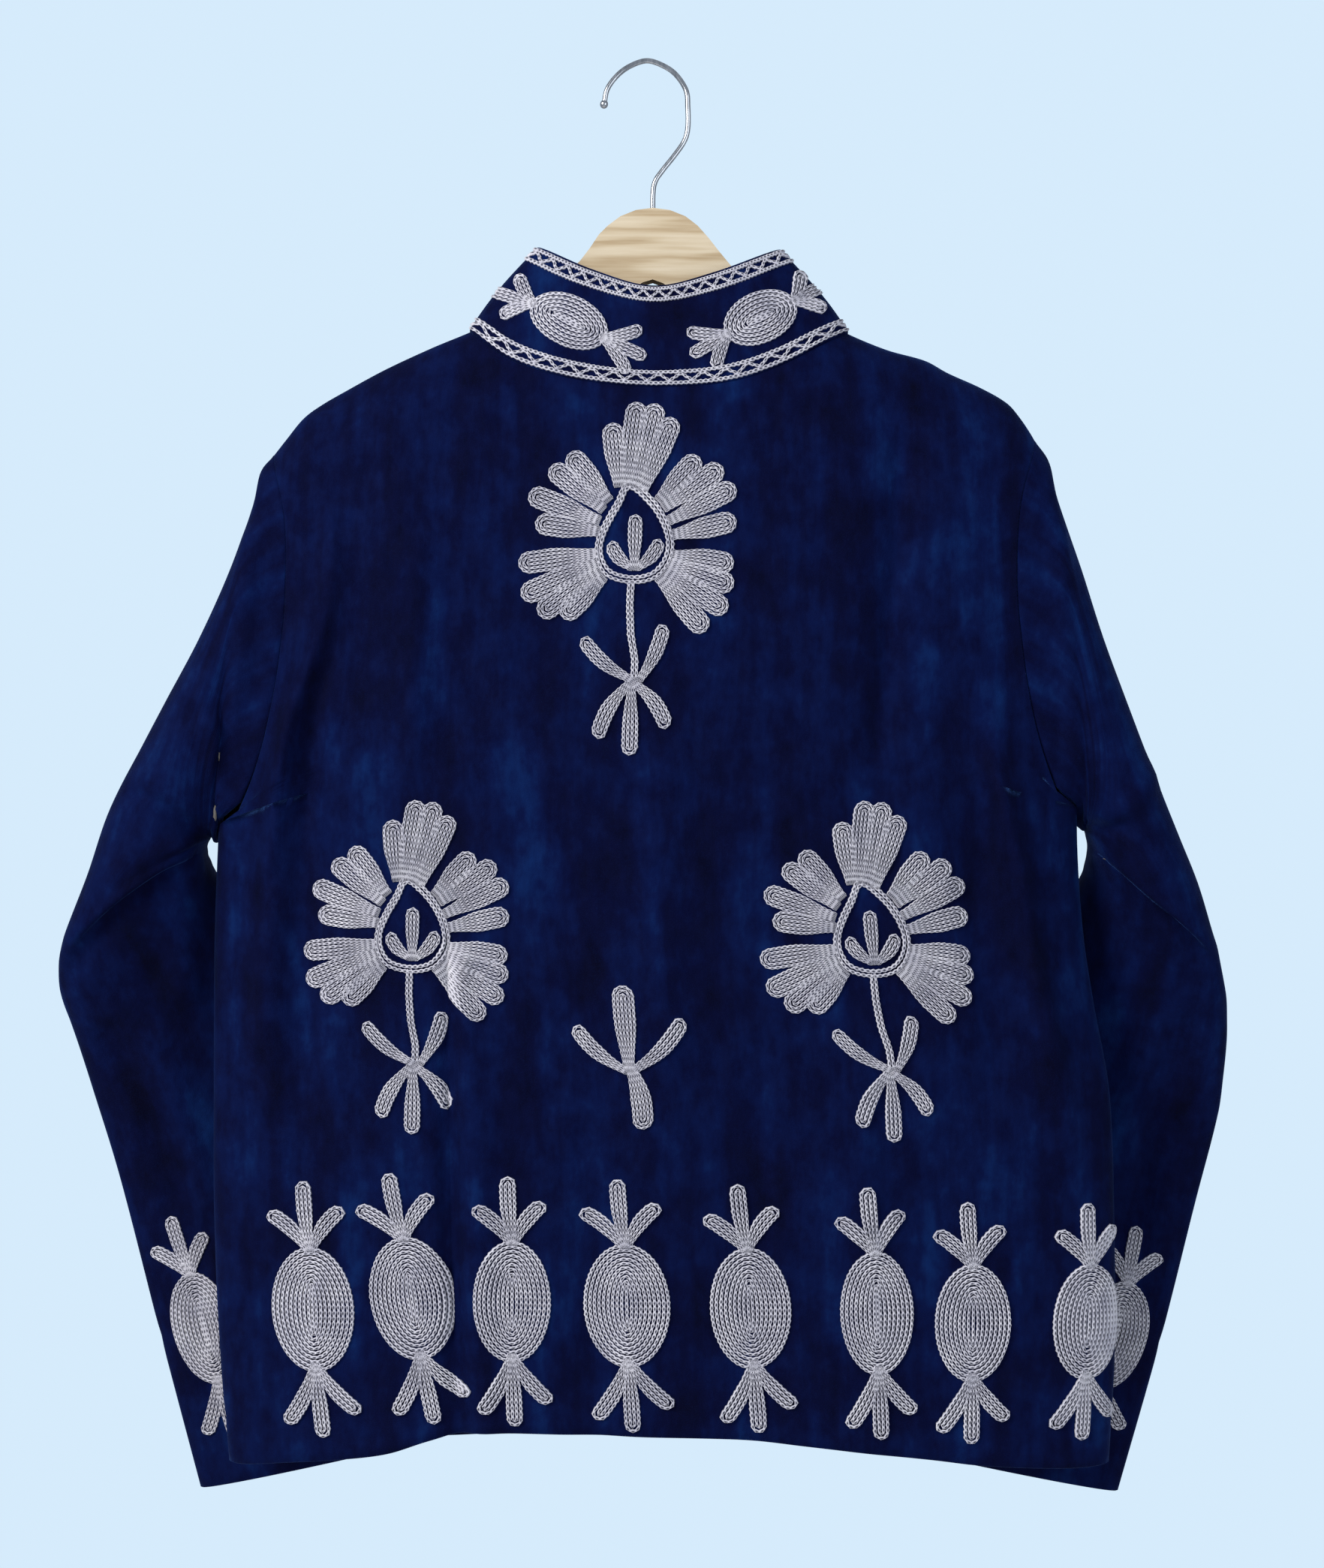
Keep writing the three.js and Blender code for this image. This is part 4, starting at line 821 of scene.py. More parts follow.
def make_back():
    c, z = panel_rows(back_left, back_right, back_columns(), BACK_HEM, BACK_NECK)
    outer, inner = body_point(c, z, 0.0), body_point(c, z, WALL)
    sewn = sewn_hem(outer, grid_ways(outer, False), HEM_ROWS)
    return shell("jacket_back", sewn, inner, False, [VELVET, BACKING], HEM_ROWS), outer, inner


def front_edges(side):
    """A front's side edge and its free edge, which hangs straight down."""
    edge = side_edge(side, False)
    t = (edge[1] - edge[1][0]) / (edge[1][-1] - edge[1][0])
    x = BODY_CENTRE + SIDES[side] * FRONT_GAP / 2
    z = mix(read(FRONT_HEM, "x", x, "z"), read(FRONT_NECK, "x", x, "z"), t)
    return edge, (turn_at(np.full(len(z), x), z, False), z)


def make_front(side):
    edge, free = front_edges(side)
    neck = turn_at(NECK_LEFT if side == "left" else NECK_RIGHT, NECK_FRONT_Z, False)
    share = (neck - edge[0][-1]) / (free[0][-1] - edge[0][-1])
    columns = np.concatenate([spread(44, 1.2) * share, mix(share, 1, spread(40))[1:]])
    c, z = panel_rows(edge, free, columns, FRONT_HEM, FRONT_NECK)
    outer, inner = body_point(c, z, 0.0), body_point(c, z, WALL)
    piece = shell("jacket_front_" + side, outer, inner, False, [VELVET, BACKING], HEM_ROWS)
    return piece, outer, inner


def past_edge(grid, column, nxt):
    """Points just past a panel's armhole edge, lifted near the underarm."""
    edge = grid[SIDE_ROWS - 1:, column]
    along = unit(np.gradient(edge, axis=0))
    away = edge - grid[SIDE_ROWS - 1:, nxt]
    away -= along * np.sum(away * along, axis=1, keepdims=True)
    index = (np.arange(len(edge)) - 1) * 10 / ARMHOLE_ROWS
    raised = edge + unit(away) * (SEAM + 0.4)
    raised[:, 2] += 9 * np.exp(-index / 3)
    return raised[1:]


def armhole_ring(back_grid, front_grid, column, nxt, sign):
    """The sleeve's first ring, up the back's armhole and down the front's."""
    up_back, down_front = past_edge(back_grid, column, nxt), past_edge(front_grid, 0, 1)
    ring = np.concatenate([up_back, down_front[-2:0:-1]])
    ring[0] = (back_grid[SIDE_ROWS, column] + front_grid[SIDE_ROWS, 0]) / 2 + np.array([0, 0, 7])
    ring[ARMHOLE_ROWS] = (back_grid[-1, column] + front_grid[-1, 0]) / 2
    ring[ARMHOLE_ROWS, 0] += sign * 0.5
    return ring


def sleeve_rings(rows):
    """Each row's ring: a line from its inner to its outer end, bulged to both faces."""
    outer, inner = (np.stack([rows[end + k] for k in "xyz"], 1) for end in ("outer_", "inner_"))
    up = np.array([-np.sign(outer[0, 0]) * TUCK_LEAN, 0, 1]) / math.hypot(TUCK_LEAN, 1)
    angle = math.pi * np.arange(2 * ARMHOLE_ROWS) / ARMHOLE_ROWS
    across, bulge = (1 - np.cos(angle)) / 2, np.sin(angle)
    back_side, front_side = np.maximum(bulge, 0), np.maximum(-bulge, 0)
    rings = mix(inner[:, None], outer[:, None], across[None, :, None])
    rings[..., 1] -= rows["back"][:, None] * back_side**0.85
    rings[..., 1] += rows["front"][:, None] * front_side**0.85
    return rings + up * (rows["tuck"][:, None] * back_side**2)[..., None]


def between_rings(rings, count):
    """Rings resampled along the sleeve by a cubic through them, by their mean distance."""
    steps = np.linalg.norm(np.diff(rings, axis=0), axis=-1).mean(axis=1)
    place = np.concatenate([[0], np.cumsum(steps)])
    flat = {"at": place}
    flat.update({k: column for k, column in enumerate(rings.reshape(len(rings), -1).T)})
    by_ring = np.interp(np.linspace(0, 1, count + 1), np.linspace(0, 1, len(place)), place)
    at = by_ring * 0.5 + np.linspace(0, place[-1], count + 1) * 0.5
    columns = [read(flat, "at", at, k) for k in range(rings[0].size)]
    return np.stack(columns, 1).reshape(count + 1, -1, 3)


def make_sleeve(side, rows, front_outer, front_inner):
    sign = SIDES[side]
    last = back_outer.shape[1] - 1
    column, nxt = (0, 1) if sign < 0 else (last, last - 1)
    outer_start = armhole_ring(back_outer, front_outer, column, nxt, sign)
    inner_start = armhole_ring(back_inner, front_inner, column, nxt, sign)
    middle = (outer_start + inner_start) / 2
    rings = sleeve_rings(rows)
    leaving = mix(middle, rings[0], 0.45) + np.array([2.6 * sign, 0, 2.1])
    grid = between_rings(np.concatenate([[middle], [leaving], rings]), SLEEVE_ROWS)
    ways = -sign * grid_ways(grid, True)
    facing = np.clip(-ways[..., 1] * 1.4, 0, 1)
    along = np.linspace(0, 1, SLEEVE_ROWS + 1)[:, None]
    clear = np.clip(along * 14, 0, 1) * np.clip((1 - along) * 14, 0, 1)
    lift = crease_lift(SLEEVE_CREASES, grid[..., 0], grid[..., 2]) * facing * clear
    grid = grid + ways * lift[..., None]
    ways = -sign * grid_ways(grid, True)
    outer, inner = grid + ways * SLEEVE_WALL / 2, grid - ways * SLEEVE_WALL / 2
    outer[0], inner[0] = outer_start, inner_start
    turned_in = 2 * int(round(HEM_TURN * SLEEVE_ROWS / SLEEVE_LENGTH))
    sewn = sewn_hem(outer, ways, SLEEVE_ROWS - turned_in)
    piece = shell("jacket_sleeve_" + side, sewn, inner, True, [VELVET, BACKING], -turned_in)
    return piece, outer


def neck_line(inset):
    """The neck seam from the left front edge over the back to the right front edge."""
    left_start, right_end = (front_edges(side)[1][0][-1] for side in SIDES)
    left_z, right_z = NECK_LEFT_Z, NECK_RIGHT_Z
    parts = [
        (left_start, turn_at(NECK_LEFT, NECK_FRONT_Z, False), FRONT_NECK, COLLAR_FRONT_COLUMNS),
        (turn_at(NECK_LEFT, left_z, True), turn_at(NECK_RIGHT, right_z, True), BACK_NECK,
         COLLAR_BACK_COLUMNS),
        (turn_at(NECK_RIGHT, NECK_FRONT_Z, False), right_end, FRONT_NECK, COLLAR_FRONT_COLUMNS),
    ]
    lines = []
    for start, end, neck, count in parts:
        c = np.linspace(start, end, count + 1)
        if neck is FRONT_NECK:
            c = c[:-1] if start < 0 else c[1:]
        lines.append(body_point(c, top_height(c, neck), inset))
    line = np.concatenate(lines)
    side = np.minimum(np.abs(line[:, 0] - COLLAR_CENTRE) / NECK_HALF, 1)
    line[:, 2] += SEAM + NECK_LIFT + 0.8 * side**3
    return line


def make_collar():
    """The collar: each point of the neck seam is joined to the top edge, bowed out a little."""
    outer_line, inner_line = neck_line(0.0), neck_line(WALL)
    base = (outer_line + inner_line) / 2
    index = np.arange(len(base))
    last = COLLAR_FRONT_COLUMNS + COLLAR_BACK_COLUMNS
    is_back = (index >= COLLAR_FRONT_COLUMNS) & (index <= last)
    share = np.clip((base[:, 0] - COLLAR_CENTRE) / COLLAR_HALF, -1, 1)
    x = COLLAR_CENTRE + share * COLLAR_TOP_REACH
    reach = np.where(is_back, -COLLAR_BACK_REACH, COLLAR_FRONT_REACH)
    y = reach * np.sqrt(np.maximum(0, 1 - share**2)) ** 0.8
    z = np.where(is_back, read(COLLAR_TOP, "x", x, "z"), read(COLLAR_FRONT_TOP, "x", x, "z"))
    top = np.stack([x, y, z], 1)
    t = np.linspace(0, 1, COLLAR_ROWS + 1)[:, None, None]
    rows = mix(base[None], top[None], t)
    away_x = (rows[..., 0] - COLLAR_CENTRE) / 100
    away_y = np.where(rows[..., 1] < 0, -1, 1) * np.sqrt(np.maximum(0, 1 - away_x**2)) * 0.6
    rows = rows + np.stack([away_x, away_y, 0 * away_x], -1) * COLLAR_BOW * np.sin(math.pi * t)
    ways = grid_ways(rows, False)
    outer, inner = rows + ways * (WALL / 2 + 0.1), rows - ways * (WALL / 2 + 0.1)
    outer[0], inner[0] = outer_line, inner_line
    return shell("jacket_collar", outer, inner, False, [VELVET, VELVET]), outer


back, back_outer, back_inner = make_back()
front_left, left_outer, left_inner = make_front("left")
front_right, right_outer, right_inner = make_front("right")
sleeve_left, sleeve_left_outer = make_sleeve("left", LEFT_SLEEVE, left_outer, left_inner)
sleeve_right, sleeve_right_outer = make_sleeve("right", RIGHT_SLEEVE, right_outer, right_inner)
collar, collar_outer = make_collar()


# Where embroidery lies: each function turns flat places in millimetres to points and directions

def with_ways(place, x, z):
    """Points of a placing function, and unit vectors square to it from two short steps."""
    here, step_x, step_z = place(x, z), place(x + 0.5, z), place(x, z + 0.5)
    return here, unit(np.cross(step_x - here, step_z - here))


def on_body(x0, z0, is_back):
    """The body's cloth around a place, measured along the cloth from there."""
    turn = turn_at(x0, z0, is_back)
    way = 1 if is_back else -1

    def place(x, z):
        half = (read(BODY, "z", z, "right") - read(BODY, "z", z, "left")) / 2
        c = turn + way * x / (QUARTER_LENGTH * half / BODY_HALF)
        return body_point(c, z0 + z, 0.0)

    return place


def read_grid(grid, j, i, ring):
    """A grid read between its points, linearly both ways."""
    rows, columns = grid.shape[:2]
    j = np.clip(j, 0, rows - 1.001)
    i = np.mod(i, columns) if ring else np.clip(i, 0, columns - 1.001)
    j0, i0 = j.astype(int), i.astype(int)
    tj, ti = (j - j0)[..., None], (i - i0)[..., None]
    i1 = (i0 + 1) % columns
    low = mix(grid[j0, i0], grid[j0, i1], ti)
    return mix(low, mix(grid[j0 + 1, i0], grid[j0 + 1, i1], ti), tj)


def on_sleeve(grid, x0, z0, facing):
    """A sleeve's cloth around a place, measured round the sleeve and up it from there."""
    ring = np.concatenate([grid, grid[:, :1]], axis=1)
    around, length = run_length(ring, 1), run_length(grid.mean(axis=1))
    columns = grid.shape[1]
    even = []
    for row, line in zip(around, ring):
        at = np.linspace(0, row[-1], columns + 1)[:-1]
        even.append(np.stack([np.interp(at, row, line[:, k]) for k in range(3)], -1))
    even = np.stack(even)
    side = facing * (even[..., 1] - even[..., 1].mean(axis=1, keepdims=True)) > 0
    gap = np.where(side, np.hypot(even[..., 0] - x0, even[..., 2] - z0), 1e9)
    j0, i0 = np.unravel_index(np.argmin(gap), gap.shape)
    way = np.sign(even[j0, (i0 + 1) % columns, 0] - even[j0, i0, 0])

    def place(x, z):
        j = np.interp(length[j0] - z, length, np.arange(len(length)))
        girth = np.interp(j, np.arange(len(length)), around[:, -1])
        return read_grid(even, j, i0 + way * x / girth * columns, True)

    return place


def on_collar_back(x0, z0):
    """The collar's back around a place seen from behind."""
    columns = collar_outer[:, COLLAR_FRONT_COLUMNS:COLLAR_FRONT_COLUMNS + COLLAR_BACK_COLUMNS + 1]
    low_x, low_z, top_z = columns[0, :, 0], columns[0, :, 2], columns[-1, :, 2]
    index = np.arange(COLLAR_BACK_COLUMNS + 1.0)

    def place(x, z):
        t = np.full(np.shape(x), 0.5)
        for _ in range(12):
            line = (x + x0 - COLLAR_CENTRE) / mix(COLLAR_HALF, COLLAR_TOP_REACH, t)
            i = np.interp(line, (low_x - COLLAR_CENTRE) / COLLAR_HALF, index)
            low, high = np.interp(i, index, low_z), np.interp(i, index, top_z)
            t = np.clip(mix(t, (z + z0 - low) / (high - low), 0.7), 0, 1)
        return read_grid(columns, t * COLLAR_ROWS, i, False)

    return place


def along_collar(x, z):
    """The collar by its own grid: x is the share of its length and z the share of its height."""
    return read_grid(collar_outer, z * COLLAR_ROWS, x * (collar_outer.shape[1] - 1), False)


# Chain stitch

random = np.random.default_rng(7)


class Rows:
    """Flat rows of chain stitch that are gathered, then laid on the cloth as one piece."""

    def __init__(self):
        self.lines = []

    def add(self, line, closed=False, width=ROW):
        """One row along a line of places; width is one number or one for each place."""
        line = np.asarray(line, float)
        wide = np.broadcast_to(np.asarray(width, float), (len(line),)).copy()
        if closed:
            line, wide = np.concatenate([line, line[:1]]), np.append(wide, wide[0])
        length = run_length(line)
        links = max(2, int(round(length[-1] / LINK)))
        at = np.linspace(0, length[-1], 2 * links + 1)
        if closed:
            at = at[:-1]
        points = np.stack([np.interp(at, length, line[:, k]) for k in range(2)], 1)
        self.lines.append((points, np.interp(at, length, wide), closed))

    def lay(self, name, place, placed=None):
        """Each row has five points across, high on its two strands and low in each loop's middle.

        Every second place along it is a joint, where the strands come together.
        """
        points, faces, uvs = [], [], []
        across = np.array([-1, -0.5, 0, 0.5, 1.0])
        start = 0
        for line, wide, closed in self.lines:
            count = len(line)
            if closed:
                step = np.roll(line, -1, axis=0) - np.roll(line, 1, axis=0)
            else:
                step = np.gradient(line, axis=0)
            step = unit(step)
            side = np.stack([-step[:, 1], step[:, 0]], 1)
            k = np.arange(count)
            joint = k % 2 == 0
            wobble = random.normal(0, 0.05, (count, 3))
            half = wide * np.where(joint, JOINT["half"], LOOP["half"]) * (1 + wobble[:, 0])
            tall = THREAD * np.where(joint, JOINT["tall"], LOOP["tall"]) * (1 + wobble[:, 1])
            middle = np.where(joint, JOINT["middle"], LOOP["middle"])
            if not closed:
                half[[0, -1]] *= 0.55
                tall[[0, -1]] *= 0.6
            foot = np.full(count, -0.1)
            heights = np.stack([foot, tall, tall * middle, tall, foot], 1)
            sweep = np.where(joint, 0.0, 0.3)[:, None] * np.abs(across)[None] * LINK * 0.5
            flat = line[:, None] + side[:, None] * (across[None] * half[:, None])[..., None]
            flat = flat + step[:, None] * sweep[..., None]
            flat = flat + side[:, None] * (wobble[:, 2:3, None] * 0.6)
            x, z = flat[..., 0], flat[..., 1]
            if placed:
                x, z = placed(x, z)
            here, ways = with_ways(place, x, z)
            points.append((here + ways * heights[..., None]).reshape(-1, 3))
            spans = k if closed else k[:-1]
            after = (spans + 1) % count
            for i in range(5):
                nxt = (i + 1) % 5
                here_i, after_i = spans * 5 + start, after * 5 + start
                faces.append(np.stack([here_i + i, after_i + i, after_i + nxt, here_i + nxt], 1))
                u0, u1 = i / 4, min((i + 1) / 4, 1.0)
                v0, v1 = spans / 2.0, spans / 2.0 + 0.5
                corners = [(u0, v0), (u0, v1), (u1, v1), (u1, v0)]
                uvs.append(np.stack([np.stack([u + 0 * v, v - 0.25], 1) for u, v in corners], 1))
            if not closed:
                ring = start + np.arange(5)
                for end in (ring, (ring + (count - 1) * 5)[::-1]):
                    faces.append(end[np.array([[0, 1, 2, 2], [0, 2, 3, 4]])])
                    uvs.append(np.full((2, 4, 2), 0.2))
            start += count * 5
        return stitched(name, np.concatenate(points), np.concatenate(faces), np.concatenate(uvs))


def stitched(name, points, faces, uvs):
    """One mesh of all rows; the short end faces of three corners come last."""
    short = faces[:, 2] == faces[:, 3]
    mesh = bpy.data.meshes.new(name)
    corner_lists = faces[~short].tolist() + faces[short][:, :3].tolist()
    mesh.from_pydata((points / 1000).tolist(), [], corner_lists)
    mesh.polygons.foreach_set("use_smooth", np.ones(len(mesh.polygons), bool))
    mesh.materials.append(WOOL)
    layer = mesh.uv_layers.new(name="cloth")
    flat = np.concatenate([uvs[~short].reshape(-1, 2), uvs[short][:, :3].reshape(-1, 2)])
    layer.data.foreach_set("uv", flat.ravel())
    mesh.update()
    piece = put(name, mesh)
    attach(piece, "root")
    return piece


def finger(rows, start, tip, bend, width, base=0.45, strands=4):
    """Rows up one side of a finger, round its tip and down the other, narrower at its start."""
    start, tip = np.asarray(start, float), np.asarray(tip, float)
    length = np.linalg.norm(tip - start)
    along = (tip - start) / length
    side = np.array([-along[1], along[0]])
    for k in range(strands // 2):
        reach = width / 2 - (k + 0.5) * width / strands
        run = max(length - width / 2, length * 0.5)
        s = np.linspace(0, 1, 14)
        easing = np.clip(s / 0.7, 0, 1)
        spread_out = mix(base, 1.0, easing * easing * (3 - 2 * easing))
        angle = np.linspace(0, math.pi, 9)[1:-1]
        out = np.concatenate([s * run, run + reach * np.sin(angle), (s * run)[::-1]])
        off = np.concatenate([spread_out, np.cos(angle), -spread_out[::-1]]) * reach
        tight = np.concatenate([spread_out, np.ones(len(angle)), spread_out[::-1]])
        bow = bend * np.sin(math.pi * np.clip(out / length, 0, 1))
        line = start + along * out[:, None] + side * (off + bow)[:, None]
        rows.add(line, width=np.maximum(tight * width / strands, 1.7) * 1.04)


def oval(rows, half_width, half_height):
    """Ovals one inside the other, a row apart, down to a short line in the middle."""
    count = int(half_width // ROW)
    for k in range(count + 1):
        wide, tall = half_width - (k + 0.5) * ROW, half_height - (k + 0.5) * ROW
        if wide < 1.0:
            rows.add([(0, tall), (0, -tall)])
            break
        angle = np.linspace(0, 2 * math.pi, 60, endpoint=False)
        rows.add(np.stack([wide * np.cos(angle), tall * np.sin(angle)], 1), closed=True)


def turned(tilt, size=1.0):
    """A flat turn by an angle, with a size, for a motif's own places."""
    sine, cosine = math.sin(math.radians(tilt)), math.cos(math.radians(tilt))

    def to_cloth(x, z):
        return size * (x * cosine - z * sine), size * (x * sine + z * cosine)

    return to_cloth


def pomegranate(name, place, half_width, half_height, tilt, width=9.2):
    rows = Rows()
    oval(rows, half_width, half_height * 0.5)
    for start_x, start_z, tip_x, tip_z, bend in each(POMEGRANATE_FINGERS):
        start = (start_x * half_width, start_z * half_height)
        tip = (tip_x * half_width * 1.06, tip_z * half_height * 1.02)
        finger(rows, start, tip, bend * half_width, width)
    return rows.lay(name, place, turned(tilt))


def smooth_ring(points, count):
    """A closed line through points, by a cubic in their number."""
    wrapped = np.concatenate([points[-2:], points, points[:3]])
    rows = {"at": np.arange(len(wrapped)) - 2.0, "x": wrapped[:, 0], "z": wrapped[:, 1]}
    at = np.linspace(0, len(points), count, endpoint=False)
    return np.stack([read(rows, "at", at, "x"), read(rows, "at", at, "z")], 1)


def bent_fingers(rows, fingers):
    for start_x, start_z, tip_x, tip_z, bend, width in each(fingers):
        strands = 6 if width > 11 else 4
        finger(rows, (start_x, start_z), (tip_x, tip_z), bend, width, strands=strands)


def flower(name, place, size, tilt):
    rows = Rows()
    for start_x, start_z, tip_x, tip_z in each(PETAL_LOBES):
        finger(rows, (start_x, start_z), (tip_x, tip_z), 0, PETAL_WIDTH, PETAL_BASE, 6)
    ring = smooth_ring(np.stack([RING["x"], RING["z"]], 1), 90)
    centre = ring.mean(axis=0)
    rows.add(ring, closed=True, width=RING_WIDTH)
    rows.add(centre + (ring - centre) * RING_GROWTH, closed=True, width=2.7)
    stem = np.stack([STEM["x"], STEM["z"]], 1)
    for off in (-STEM_OFF, STEM_OFF):
        rows.add(stem + np.array([off, 0]), width=2.5)
    bent_fingers(rows, FLOWER_FINGERS)
    return rows.lay(name, place, turned(tilt, size))


def sprig(name, place):
    rows = Rows()
    bent_fingers(rows, SPRIG_FINGERS)
    return rows.lay(name, place, turned(0))


on_back, on_collar = [], []
on_front, on_cuffs = {side: [] for side in SIDES}, {side: [] for side in SIDES}

for k, (x, z, size, tilt) in enumerate(each(BACK_FLOWERS)):
    piece = flower(f"embroidery_back_flower_{k + 1}", on_body(x, z, True), size, tilt)
    on_back.append(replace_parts(piece, f"motif_back_flower_{k + 1}"))
for k, (x, z, half_width, half_height, tilt) in enumerate(each(BACK_POMEGRANATES)):
    name = f"embroidery_back_pomegranate_{k + 1}"
    piece = pomegranate(name, on_body(x, z, True), half_width, half_height, tilt)
    on_back.append(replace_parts(piece, f"motif_back_pomegranate_{k + 1}"))
piece = sprig("embroidery_back_sprig", on_body(-10.8, -560, True))
on_back.append(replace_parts(piece, "motif_back_sprig"))

for side, sign in SIDES.items():
    x = BODY_CENTRE + sign * 118.0
    piece = flower(f"embroidery_front_{side}_flower", on_body(x, -480.0, False), 0.95, 0)
    on_front[side].append(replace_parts(piece, f"motif_front_{side}_flower"))
    for k, (off, z, half_width, half_height, tilt) in enumerate(each(FRONT_POMEGRANATES)):
        place = on_body(BODY_CENTRE + sign * off, z, False)
        name = f"embroidery_front_{side}_pomegranate_{k + 1}"
        piece = pomegranate(name, place, half_width, half_height, tilt * sign)
        on_front[side].append(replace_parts(piece, f"motif_front_{side}_pomegranate_{k + 1}"))

for side, grid, x, z in (("left", sleeve_left_outer, -259.0, -734.0),
                         ("right", sleeve_right_outer, 273.0, -736.0)):
    piece = pomegranate(f"embroidery_cuff_{side}_1", on_sleeve(grid, x, z, -1), 20, 68, 0)
    on_cuffs[side].append(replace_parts(piece, f"motif_cuff_{side}_pomegranate_1"))
    for k in (1, 2):
        place = on_sleeve(grid, x - SIDES[side] * k * CUFF_STEP, z + 10, 1)
        on_cuffs[side].append(pomegranate(f"embroidery_cuff_{side}_{k + 1}", place, 20, 66, 0))

for k, (x, z, half_width, half_height, tilt) in enumerate(each(COLLAR_POMEGRANATES)):
    name = f"embroidery_collar_pomegranate_{k + 1}"
    piece = pomegranate(name, on_collar_back(x, z), half_width, half_height, tilt, 8.0)
    on_collar.append(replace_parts(piece, f"motif_collar_pomegranate_{k + 1}"))


def collar_rows():
    """Two rows with a zigzag between them along the collar's top edge, and again on its seam."""
    rows = Rows()
    share = np.linspace(0.012, 0.988, 400)
    length, tall = 440.0, 50
    for height, wave in ((0.965, 0), (0.855, 0), (0.91, 1), (0.03, 0), (0.135, 0), (0.085, 1)):
        z = height + wave * 0.035 * (2 * np.abs(np.mod(share * 30, 1) * 2 - 1) - 1)
        rows.add(np.stack([share * length, z * tall], 1), width=2.1 if wave else 2.4)
    return rows.lay("embroidery_collar_rows", lambda x, z: along_collar(x / length, z / tall))


on_collar.append(collar_rows())


# The hanger

def make_wood():
    """The bar's outline on two faces, with a rounded edge all round."""
    outline = np.stack([WOOD["x"], WOOD["z"]], 1)
    count = len(outline)
    points = np.concatenate([
        np.insert(outline, 1, side * WOOD_THICK / 2, axis=1) for side in (-1, 1)])
    k = np.arange(count)
    after = (k + 1) % count
    faces = [k[::-1].tolist(), (k + count).tolist()]
    faces += np.stack([k + count, after + count, after, k], 1).tolist()
    mesh = bpy.data.meshes.new("hanger_bar")
    mesh.from_pydata((points / 1000).tolist(), [], faces)
    mesh.materials.append(WOODEN)
    piece = put("hanger_bar", mesh)
    round_edge = piece.modifiers.new("round_edge", "BEVEL")
    round_edge.width, round_edge.segments, round_edge.limit_method = 0.0028, 4, "ANGLE"
    round_edge.angle_limit = math.radians(60)
    mesh.polygons.foreach_set("use_smooth", np.ones(len(mesh.polygons), bool))
    piece.modifiers.new("even_shade", "WEIGHTED_NORMAL").keep_sharp = True
    return piece


def make_hook():
    rows = {"at": np.arange(len(HOOK["x"]), dtype=float), "x": HOOK["x"], "z": HOOK["z"]}
    at = np.linspace(0, len(HOOK["x"]) - 1, 240)
    path = np.stack([read(rows, "at", at, "x"), 0 * at, read(rows, "at", at, "z")], 1)
    wire = tube("hanger_wire", path, WIRE_RADIUS, 20, CHROME)
    direction = unit(path[0] - path[6])
    knob_line = path[0] + direction * np.linspace(-1, 1, 25)[:, None] * 0.2
    return wire, tube("hanger_wire_end", knob_line, KNOB_RADIUS, 20, CHROME)


wood = make_wood()
wire, knob = make_hook()
for piece, node, name in ((wood, "hanger_wood", "hanger_wood"), (wire, "hanger_hook", "hook_wire")):
    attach(piece, "root")
    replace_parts(piece, node)
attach(knob, "root")

for piece, nodes in ((back, ["back"]), (front_left, ["front_left"]),
                     (front_right, ["front_right"]),
                     (sleeve_left, ["sleeve_left", "sleeve_left_forearm"]),
                     (sleeve_right, ["sleeve_right", "sleeve_right_forearm"]),
                     (collar, ["collar"])):
    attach(piece, "root")
    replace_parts(piece, *nodes)


# Floor, light and camera

FLOOR_SIDES = 96
FLOOR_RADIUS = 1200
FLOOR_HEIGHT = -1250.0
PHOTO_ROWS = 2089
PIXEL = 0.43
CAMERA_AWAY = 1500
SENSOR = 36


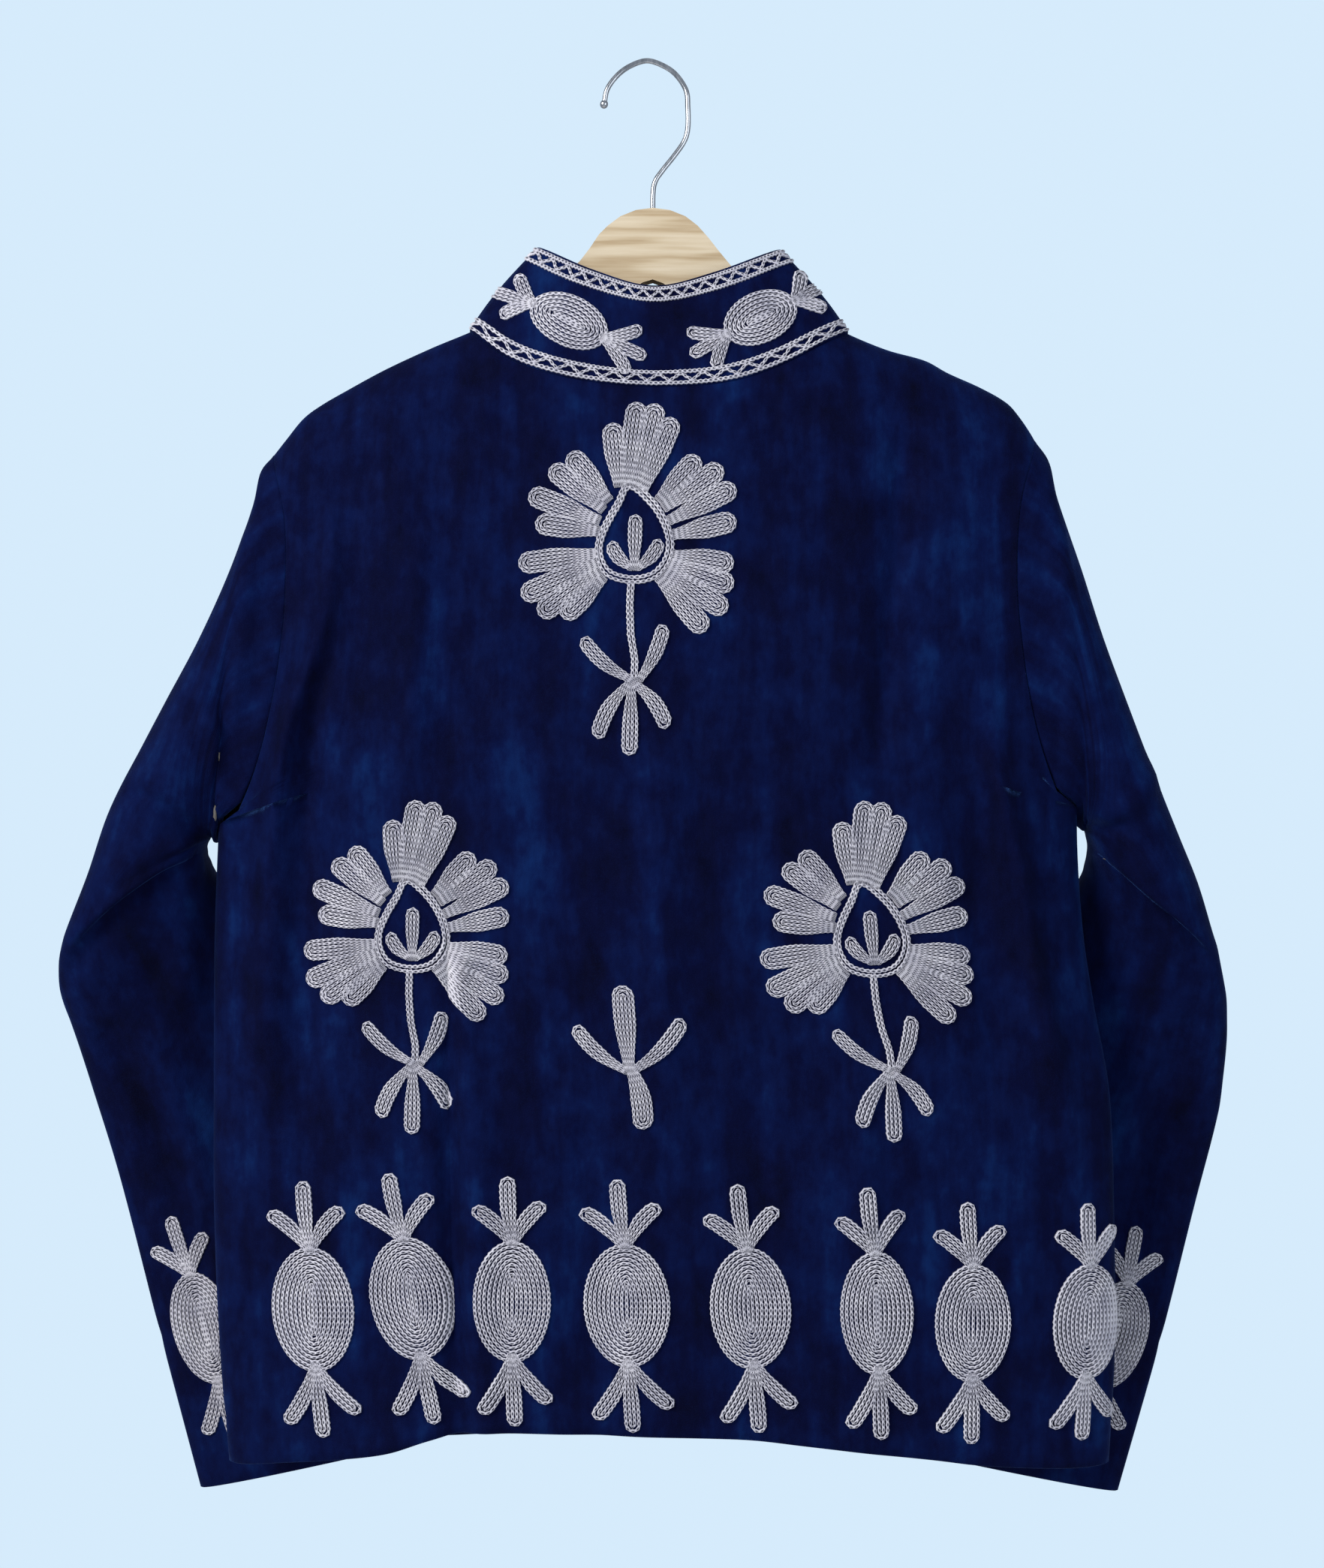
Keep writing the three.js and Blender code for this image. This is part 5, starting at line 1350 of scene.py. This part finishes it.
def make_floor():
    angle = 2 * math.pi * np.arange(FLOOR_SIDES) / FLOOR_SIDES
    low = np.full(FLOOR_SIDES, FLOOR_HEIGHT)
    points = np.stack([FLOOR_RADIUS * np.cos(angle), FLOOR_RADIUS * np.sin(angle), low], 1)
    mesh = bpy.data.meshes.new("floor")
    mesh.from_pydata((points / 1000).tolist(), [], [list(range(FLOOR_SIDES))])
    mesh.materials.append(floor_paint())
    put("floor", mesh)


def make_light(name, place, aim, size, power, colour):
    light = bpy.data.lights.new(name, "AREA")
    light.shape, light.size, light.size_y = "RECTANGLE", size[0], size[1]
    light.energy, light.color = power, colour
    lamp = put(name, light)
    lamp.location = place
    way = np.array(aim) - np.array(place)
    yaw, pitch = math.atan2(way[1], way[0]), math.atan2(way[2], math.hypot(way[0], way[1]))
    lamp.rotation_euler = (math.pi / 2 + pitch, 0, yaw - math.pi / 2)


def make_world():
    """The camera sees the wall's pale blue; everything else is lit by a dimmer one."""
    world = bpy.data.worlds.new("pale_room")
    world.use_nodes = True
    nodes, links = world.node_tree.nodes, world.node_tree.links
    seen, light = nodes["Background"], nodes.new("ShaderNodeBackground")
    seen.inputs["Color"].default_value = (0.672, 0.831, 0.972, 1)
    light.inputs["Color"].default_value = (0.80, 0.88, 1.0, 1)
    light.inputs["Strength"].default_value = 0.42
    rays, both = nodes.new("ShaderNodeLightPath"), nodes.new("ShaderNodeMixShader")
    links.new(rays.outputs["Is Camera Ray"], both.inputs[0])
    links.new(light.outputs[0], both.inputs[1])
    links.new(seen.outputs[0], both.inputs[2])
    links.new(both.outputs[0], nodes["World Output"].inputs[0])
    bpy.context.scene.world = world
    bpy.context.scene.view_settings.view_transform = "Standard"


def make_camera():
    camera = bpy.data.cameras.new("camera")
    camera.sensor_width = SENSOR
    camera.lens = SENSOR / (PHOTO_ROWS * PIXEL / CAMERA_AWAY)
    camera.clip_start, camera.clip_end = 0.05, 20
    seat = put("camera", camera)
    seat.location = (0.0086, -CAMERA_AWAY / 1000, -0.4128)
    seat.rotation_euler = (math.pi / 2, 0, 0)
    bpy.context.scene.camera = seat


make_floor()
make_light("window", (-1.5, -1.5, 0.5), (0, 0, -0.4), (1.0, 1.2), 52, (1.0, 0.98, 0.95))
make_light("room", (1.5, -1.7, -0.1), (0, 0, -0.4), (1.4, 1.8), 14, (0.9, 0.95, 1.0))
make_world()
make_camera()
